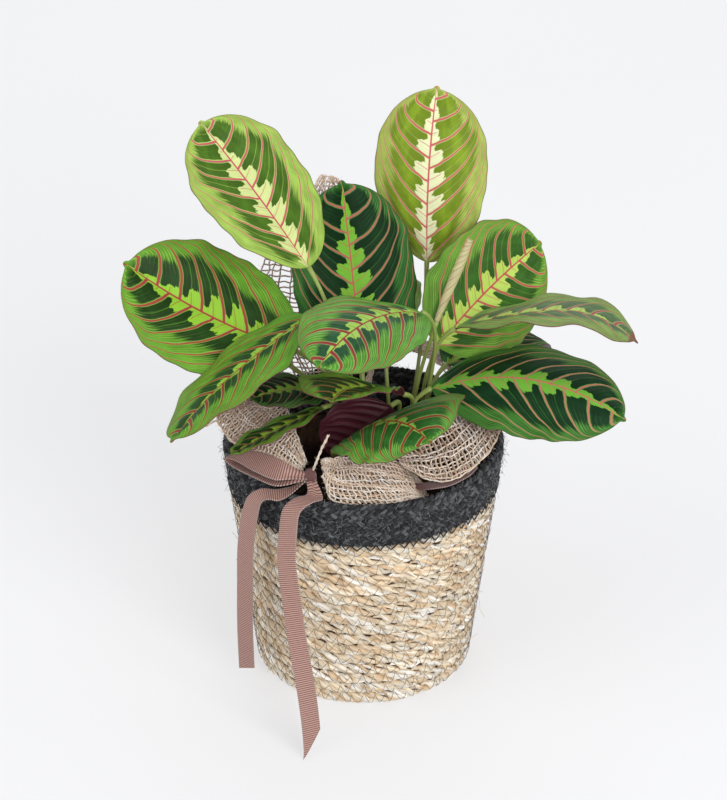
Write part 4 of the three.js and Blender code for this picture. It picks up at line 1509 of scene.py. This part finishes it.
MESH_STRIPS: dict[str, Strip] = {
    "mesh_left_loop": Strip(
        (
            ((-37, -59, 161), (-34, -52, 167)), ((-48, -55, 165), (-39, -37, 174)),
            ((-63, -48, 168), (-42, -23, 176)), ((-78, -27, 165), (-48, -12, 179)),
            ((-87, 0, 164), (-56, 0, 177)), ((-80, 15, 160), (-56, 12, 168)),
            ((-70, 20.5, 144), (-54, 19, 148)),
        ),
        (56.0, 150.0), Held.GATHERED, 2.5, 0.16, 2,
    ),
    "mesh_front_loop": Strip(
        (
            ((-23, -62, 158), (-24, -54, 167)), ((-19, -72.5, 152.5), (-12, -52, 167)),
            ((-2, -76.2, 151), (2, -50, 167)), ((17, -74.6, 150.6), (16, -48, 163)),
            ((31, -66, 147.5), (27, -45, 154)), ((39, -57, 139), (33, -41, 145)),
        ),
        (56.0, 94.0), Held.GATHERED, 2.2, -0.36, 2,
    ),
    "mesh_right_loop": Strip(
        (
            ((24, -53, 161), (14, -38, 167)), ((35, -62, 161), (28, -30, 175)),
            ((49, -61, 159), (40, -22, 178)), ((64, -50, 160), (50, -12, 178)),
            ((77, -29, 164), (58, 0, 176)), ((81, -8, 165), (62, 10, 172)),
            ((77, 10, 160), (58, 18, 162)), ((71.3, 22, 143.5), (54, 21.5, 147)),
        ),
        (60.0, 128.0), Held.GATHERED, 3.0, 0.08, 2,
    ),
    "mesh_back_right": Strip(
        (
            ((62, 32, 144), (52, 30, 148)), ((79, 42, 164), (50, 36, 172)),
            ((67, 64, 168), (40, 48, 176)), ((44, 80, 168), (26, 56, 177)),
            ((22, 86, 165), (10, 56, 171)), ((8, 77, 162), (4, 56, 162)), ((4, 64, 146), (0, 52, 148)),
        ),
        (26.0, 130.0), Held.GATHERED,
    ),
    "mesh_back_left": Strip(
        (
            ((-66, 29, 145.5), (-54, 26, 148)), ((-84, 30, 164), (-60, 28, 173)),
            ((-99, 40, 171), (-66, 38, 180)), ((-84, 58, 169), (-58, 48, 178)),
            ((-62, 60, 164), (-48, 48, 165)), ((-48, 46, 146), (-40, 40, 148)),
        ),
        (22.0, 120.0), Held.GATHERED,
    ),
    "mesh_back_tail": Strip(
        (
            ((-38.6, 63.3, 146), (-10, 66, 146)), ((-58, 68, 190), (-6, 72, 188)),
            ((-63, 68, 218), (-6, 78, 222)), ((-52, 74, 246), (-8, 82, 256)),
            ((-25, 84, 281), (-16, 85, 279)),
        ),
        (50.0, 138.0), Held.LAID, 3.3,
    ),
}
BOW: dict[str, Strip] = {
    "bow_left_loop": Strip(
        (
            ((-36, -70, 161.5), (-35, -61, 169)), ((-50, -72, 164), (-44, -63, 171)),
            ((-64, -60, 163), (-56, -54, 171)), ((-76, -45, 161), (-68, -45, 168)),
            ((-82, -40, 159), (-73, -37, 163)), ((-77, -45, 157), (-69, -36, 158)),
            ((-65, -58, 158), (-57, -48, 158.5)), ((-50, -69, 158), (-43, -58, 160)),
            ((-37, -69, 158), (-35, -58, 160)),
        ),
        (11.0, 100.0), Held.FOLDED,
    ),
    "bow_right_loop": Strip(
        (
            ((31, -59, 147.7), (27, -49, 149.7)), ((38, -67, 154.7), (34, -57, 152.7)),
            ((50, -63, 154.7), (44, -53, 152.7)), ((62, -52, 154.7), (54, -43, 152.7)),
            ((69, -40, 152.7), (60, -33, 150.7)),
        ),
        (11.0, 46.0), Held.FOLDED,
    ),
    "tail_short": Strip(
        (
            ((-33, -56, 154.4), (-33, -67, 154.4)), ((-43, -60.5, 152.7), (-43, -71.5, 152.7)),
            ((-50.5, -64.6, 153.3), (-49.5, -75.4, 152.3)), ((-59.4, -64.1, 153.3), (-54.6, -73.9, 152.3)),
            ((-66.4, -63.1, 148.5), (-58.6, -70.9, 148.5)), ((-70.6, -61, 136), (-61.4, -67, 136)),
            ((-73.7, -59.2, 112), (-64.3, -64.8, 112)), ((-74.7, -57.3, 82), (-65.3, -62.7, 82)),
            ((-75.2, -56.3, 52), (-65.8, -61.7, 52)), ((-74.7, -55.3, 20.5), (-65.3, -60.7, 20.5)),
        ),
        (11.0, 176.0), Held.HUNG,
    ),
    "tail_long": Strip(
        (
            ((-29.5, -64.9, 148.2), (-18.5, -67.1, 148.2)), ((-32.2, -70.4, 152.3), (-21.8, -74.6, 152.3)),
            ((-38.9, -75.7, 154.8), (-29.1, -81.3, 154.8)), ((-45.9, -80.4, 151), (-36.1, -85.6, 151)),
            ((-48.7, -82.8, 137), (-38.3, -87.2, 137)), ((-49.9, -85.5, 118), (-39.1, -88.5, 118)),
            ((-47.6, -90.4, 95), (-36.4, -91.6, 95)), ((-44.1, -97.6, 68), (-32.9, -96.4, 68)),
            ((-39.4, -105.5, 42), (-28.6, -102.5, 42)), ((-36.2, -113.1, 19), (-25.8, -108.9, 19)),
            ((-35.1, -118.2, 3.2), (-24.9, -113.8, 3.2)), ((-35.4, -121.2, 1), (-25.4, -116.8, 1)),
        ),
        (11.0, 198.0), Held.HUNG,
    ),
}


class JuteMesh:
    """Open jute mesh, woven yarn by yarn along each strip."""

    yarn_radius = 0.55
    layer_gap = 2.6
    over_under = 0.36
    wandering = 0.85
    samples = 401
    loose = {
        "mesh_left_loop": ((-84, -3, 161), (-88, -5, 163.5), (-93, -7, 161.5), (-97, -8, 163)),
        "mesh_front_loop": ((-29, -62, 165), (-27, -64, 172), (-24, -63, 180), (-20, -61, 188)),
    }

    def crossings(self, strip: Strip, seed: int, depth: float) -> tuple[np.ndarray, np.ndarray]:
        """Where a strip's yarns cross, on the strip's face with its pleats.

        Args:
            strip: the strip that the yarns lie in.
            seed: shifts the pleats.
            depth: how far below the strip's face the yarns lie.

        Returns:
            The places, rows x columns x 3, and the strip's normals at them.
        """
        width, length = strip.size()
        rows = max(8, round(length / strip.pitch)) * 2 + 1
        columns = max(6, round(width / strip.pitch)) * 2 + 1
        u, v = np.meshgrid(np.linspace(0, 1, columns), np.linspace(0, 1, rows))
        at = np.clip(v + strip.lean * (u - 0.5) * np.sin(np.pi * v), 0, 1) * (self.samples - 1)
        fine, steps = strip.grid(self.samples, 2), np.arange(self.samples)
        outer, inner = (
            np.stack([np.interp(at, steps, fine[:, k, axis]) for axis in range(3)], axis=-1) for k in (0, 1)
        )
        sway = np.sin(2 * np.pi * (2.7 * u + 0.9 * v) + seed)
        share = (u + 0.035 * sway * np.sin(np.pi * u))[..., None]
        grid = outer * (1 - share) + inner * share
        normal = unit(np.cross(np.gradient(grid, axis=1), np.gradient(grid, axis=0)))
        pleat = np.sin(2 * np.pi * (2.4 * u + 0.35 * np.sin(5 * v + seed)))
        pleat = pleat * (0.35 + 0.9 * np.exp(-v * 5))
        down = -np.sign(normal[..., 2].mean())
        return grid + normal * (pleat + down * depth)[..., None], normal

    def yarns(self, strip: Strip, seed: int, depth: float) -> tuple[list[np.ndarray], list[float]]:
        """The centre lines of a strip's yarns, over and under each other.

        Args:
            strip: the strip that the yarns lie in.
            seed: sets the pleats and the small wanderings of the yarns.
            depth: how far below the strip's face the yarns lie.

        Returns:
            The lines, and a shade for each.
        """
        rng = np.random.default_rng(seed)
        grid, normal = self.crossings(strip, seed, depth)
        rows, columns, _ = grid.shape
        ahead, over = unit(np.gradient(grid, axis=0)), unit(np.gradient(grid, axis=1))
        wander = rng.normal(0, 1, (rows, columns, 2))
        for _ in range(2):
            wander = (wander + np.roll(wander, 1, 0) + np.roll(wander, -1, 0)) / 3
        lines = []
        for j in range(0, columns, 2):
            lift = self.over_under * np.cos(np.pi * (np.arange(rows) / 2 + j / 2))
            line = grid[:, j] + normal[:, j] * lift[:, None] + over[:, j] * self.wandering * wander[:, j, :1]
            lines.append(smoothed(line, rows * 2))
        for i in range(0, rows, 2):
            lift = -self.over_under * np.cos(np.pi * (np.arange(columns) / 2 + i / 2))
            line = grid[i] + normal[i] * lift[:, None] + ahead[i] * self.wandering * wander[i, :, 1:]
            lines.append(smoothed(line, columns * 2))
        return lines, rng.uniform(0, 1, len(lines)).tolist()

    def loose_end(self, points: Sequence[Point]) -> list[np.ndarray]:
        """The two strands of a yarn that sticks out, wound round each other."""
        middle = smoothed(np.array(points, float), 20)
        turn = np.arange(20) * 1.1
        ply = np.stack([0.4 * np.sin(turn), 0.4 * np.cos(turn), np.zeros(20)], axis=1)
        return [middle + ply, middle - ply]

    def build(self) -> None:
        """Makes every strip, with the loose yarn ends at the knot and over the rim."""
        jute = JUTE.material("jute_finish")
        hair = JUTE.material("jute_hair")
        cords, hairs = cord_shape(), hair_shape()
        for seed, (name, strip) in enumerate(MESH_STRIPS.items()):
            lines, tints = [], []
            for layer in range(strip.layers):
                more, shades = self.yarns(strip, seed + 10 * layer, self.layer_gap * layer)
                lines += more
                tints += shades
            if name in self.loose:
                lines += self.loose_end(self.loose[name])
                tints += [0.4, 0.6]
            path = lines_mesh(f"{name}_weave", lines, tints)
            net = cords.run(path, {"Radius": self.yarn_radius * MM, "Sides": 4, "Material": jute})
            values = {
                "Density": 80000.0, "Length": 3.0 * MM, "Radius": 0.06 * MM, "Lean": 0.8, "Rise": 0.4,
                "Facing": -2.0, "Lowest": 0.0, "Seed": seed, "Hair Material": hair,
            }
            strip.declare(present(hairs.run(net, values), "jute_mesh", name))


class Bow:
    """The grosgrain bow: two loops, two tails and the knot."""

    rib = 1.3
    pinch = 15.0
    rows_a_rib = 6
    columns = 12
    knot_half = (3.8, 3.2, 5.4)
    knot_flat = (0.011, 0.016)
    centre = np.array([-31.0, -62.0, 160.3])
    cut = {"tail_long_ribbon": 17.0, "tail_short_ribbon": 4.0}
    pinched = {
        "bow_left_loop_ribbon": (0.4, 0.4), "bow_right_loop_ribbon": (0.6, 0.6),
        "tail_short_ribbon": (0.4, 1.0), "tail_long_ribbon": (0.5, 1.0),
    }

    def ribbon(self, name: str, strip: Strip, material: bpy.types.Material) -> bpy.types.Object:
        """Makes a stretch of ribbon, a real ridge for each rib.

        Args:
            name: the piece's name.
            strip: where the ribbon runs.
            material: its finish.

        Returns:
            The ribbon.
        """
        _, length = strip.size()
        ribs = round(length / self.rib)
        rows, columns = ribs * self.rows_a_rib + 1, self.columns
        grid = strip.grid(rows, columns)
        run = np.linspace(0, length, rows)
        middle = grid.mean(axis=1, keepdims=True)
        near_start, near_end = (np.clip(away / self.pinch, 0, 1) for away in (run, length - run))
        first, last = (1 - near**2 * (3 - 2 * near) for near in (near_start, near_end))
        start, end = self.pinched.get(name, (1.0, 1.0))
        draw = first * (1 - start) + last * (1 - end)
        normal = unit(np.cross(np.gradient(grid, axis=1), np.gradient(grid, axis=0)))
        pleat = 1.3 * draw[:, None] * np.cos(3 * np.pi * np.linspace(0, 1, columns))[None]
        grid = middle + (grid - middle) * (1 - draw)[:, None, None] + normal * pleat[..., None]
        if "tail" in name or "left" in name:
            grid = grid + (first**2)[:, None, None] * (self.centre - middle[0]) * 0.85
        if "left" in name:
            grid = grid + (last**2)[:, None, None] * (self.centre - middle[-1]) * 0.85
        cut = self.cut.get(name, 0.0)
        for j in range(columns):
            limit = length - cut * j / (columns - 1)
            at = np.where(run > limit, limit + 0.03 * (run - limit), run)
            grid[:, j] = np.stack([np.interp(at, run, grid[:, j, k]) for k in range(3)], axis=1)
        u, v = np.meshgrid(np.linspace(0, 1, columns), np.linspace(0, ribs, rows))
        edge = np.abs(u - 0.5) > 0.45
        thickness = 0.42 + 0.14 * np.cos(2 * np.pi * v) * ~edge + 0.1 * edge
        return closed_sheet(name, grid, thickness, [material], np.stack([u, v], axis=-1))

    def knot(self, material: bpy.types.Material) -> bpy.types.Object:
        """Makes the knot, a pleated turn of ribbon drawn tight."""
        k, turn = np.meshgrid(np.linspace(-1, 1, 40), np.linspace(0, 2 * np.pi, 73)[:-1], indexing="ij")
        pleats = 1 + 0.09 * np.sin(9 * k * np.pi + 1.5 * np.sin(turn * 2)) + 0.05 * np.sin(turn * 5 + 3 * k)
        bulge = np.sqrt(np.clip(1 - k**2, 0.03, 1)) ** 0.8
        wide, deep, tall = self.knot_half
        x, y, z = wide * k, deep * bulge * pleats * np.cos(turn), tall * bulge * pleats * np.sin(turn)
        points = self.centre + np.stack([x, y, z], axis=-1).reshape(-1, 3)
        uv = np.stack([(k + 1) / 2, np.abs(turn / np.pi - 1) * 14], axis=-1).reshape(-1, 2)
        return make_piece("bow_knot_wrap", points, bands(*k.shape), [material], uv)

    def build(self) -> None:
        """Makes every stretch of ribbon and the knot."""
        material = RibbonFinish().material("ribbon_finish")
        shaded = RibbonFinish(paint(126, 88, 84), paint(78, 40, 40)).material("ribbon_shade")
        for name, strip in BOW.items():
            finish = shaded if name == "bow_right_loop" else material
            strip.declare(present(self.ribbon(f"{name}_ribbon", strip, finish), "grosgrain", name))
        knot = present(self.knot(shaded), "grosgrain", "bow_knot")


class Studio:
    """The pale floor, the soft light and the camera at the photograph's angle."""

    eye: Point = (0.0, -1.718, 1.199)
    target: Point = (0.0, 0.0, 0.175)
    lens = 152.0
    sensor = 36.0

    def floor(self) -> None:
        """A wide pale floor."""
        corners = [(-4000, -3000, -0.2), (4000, -3000, -0.2), (4000, 5000, -0.2), (-4000, 5000, -0.2)]
        shader = Shader("floor_finish")
        grain = shader.noise(shader.place(), 3.0)
        colour = shader.mix(grain, paint(176, 176, 178), paint(180, 180, 182))
        glow = (0.98, 0.99, 1.0, 1.0)
        finish = shader.surface(colour, 0.9, Emission_Color=glow, Emission_Strength=0.44)
        floor = make_piece("studio_floor", np.array(corners), [(0, 1, 2, 3)], [finish])

    def aimed(self, name: str, data: bpy.types.ID, place: Point) -> bpy.types.Object:
        """A light or camera at a place, turned to the plant."""
        stand = placed(name, data)
        stand.location = place
        stand.rotation_euler = (Vector(self.target) - Vector(place)).to_track_quat("-Z", "Y").to_euler()
        return stand

    def light(self, name: str, place: Point, size: float, power: float) -> None:
        """A square soft light that looks at the plant."""
        lamp = bpy.data.lights.new(name, "AREA")
        lamp.size = size
        lamp.energy = power
        self.aimed(name, lamp, place)

    def build(self) -> None:
        """Sets up floor, lights, sky and camera."""
        self.floor()
        self.light("key_light", (1.2, -2.1, 1.6), 1.8, 48.0)
        self.light("fill_light", (-1.8, -1.0, 1.9), 2.0, 14.0)
        self.light("back_light", (0.2, 2.0, 1.9), 1.6, 10.0)
        world = bpy.data.worlds.new("studio")
        world.use_nodes = True
        sky = world.node_tree.nodes["Background"].inputs
        sky["Color"].default_value = (1.0, 1.0, 1.0, 1.0)
        sky["Strength"].default_value = 0.655
        bpy.context.scene.world = world
        bpy.context.scene.view_settings.view_transform = "Standard"
        camera = bpy.data.cameras.new("camera")
        camera.lens = self.lens
        camera.sensor_width = self.sensor
        camera.clip_end = 20.0
        bpy.context.scene.camera = self.aimed("camera", camera, self.eye)


def main() -> None:
    """Builds the plant from its studio inwards."""
    logging.basicConfig(level=logging.INFO, format="%(name)s %(message)s")
    for assembly in (Studio(), Basket(), Plant(), JuteMesh(), Bow()):
        assembly.build()
        LOG.info("%s is built", type(assembly).__name__)


if __name__ == "__main__":
    main()
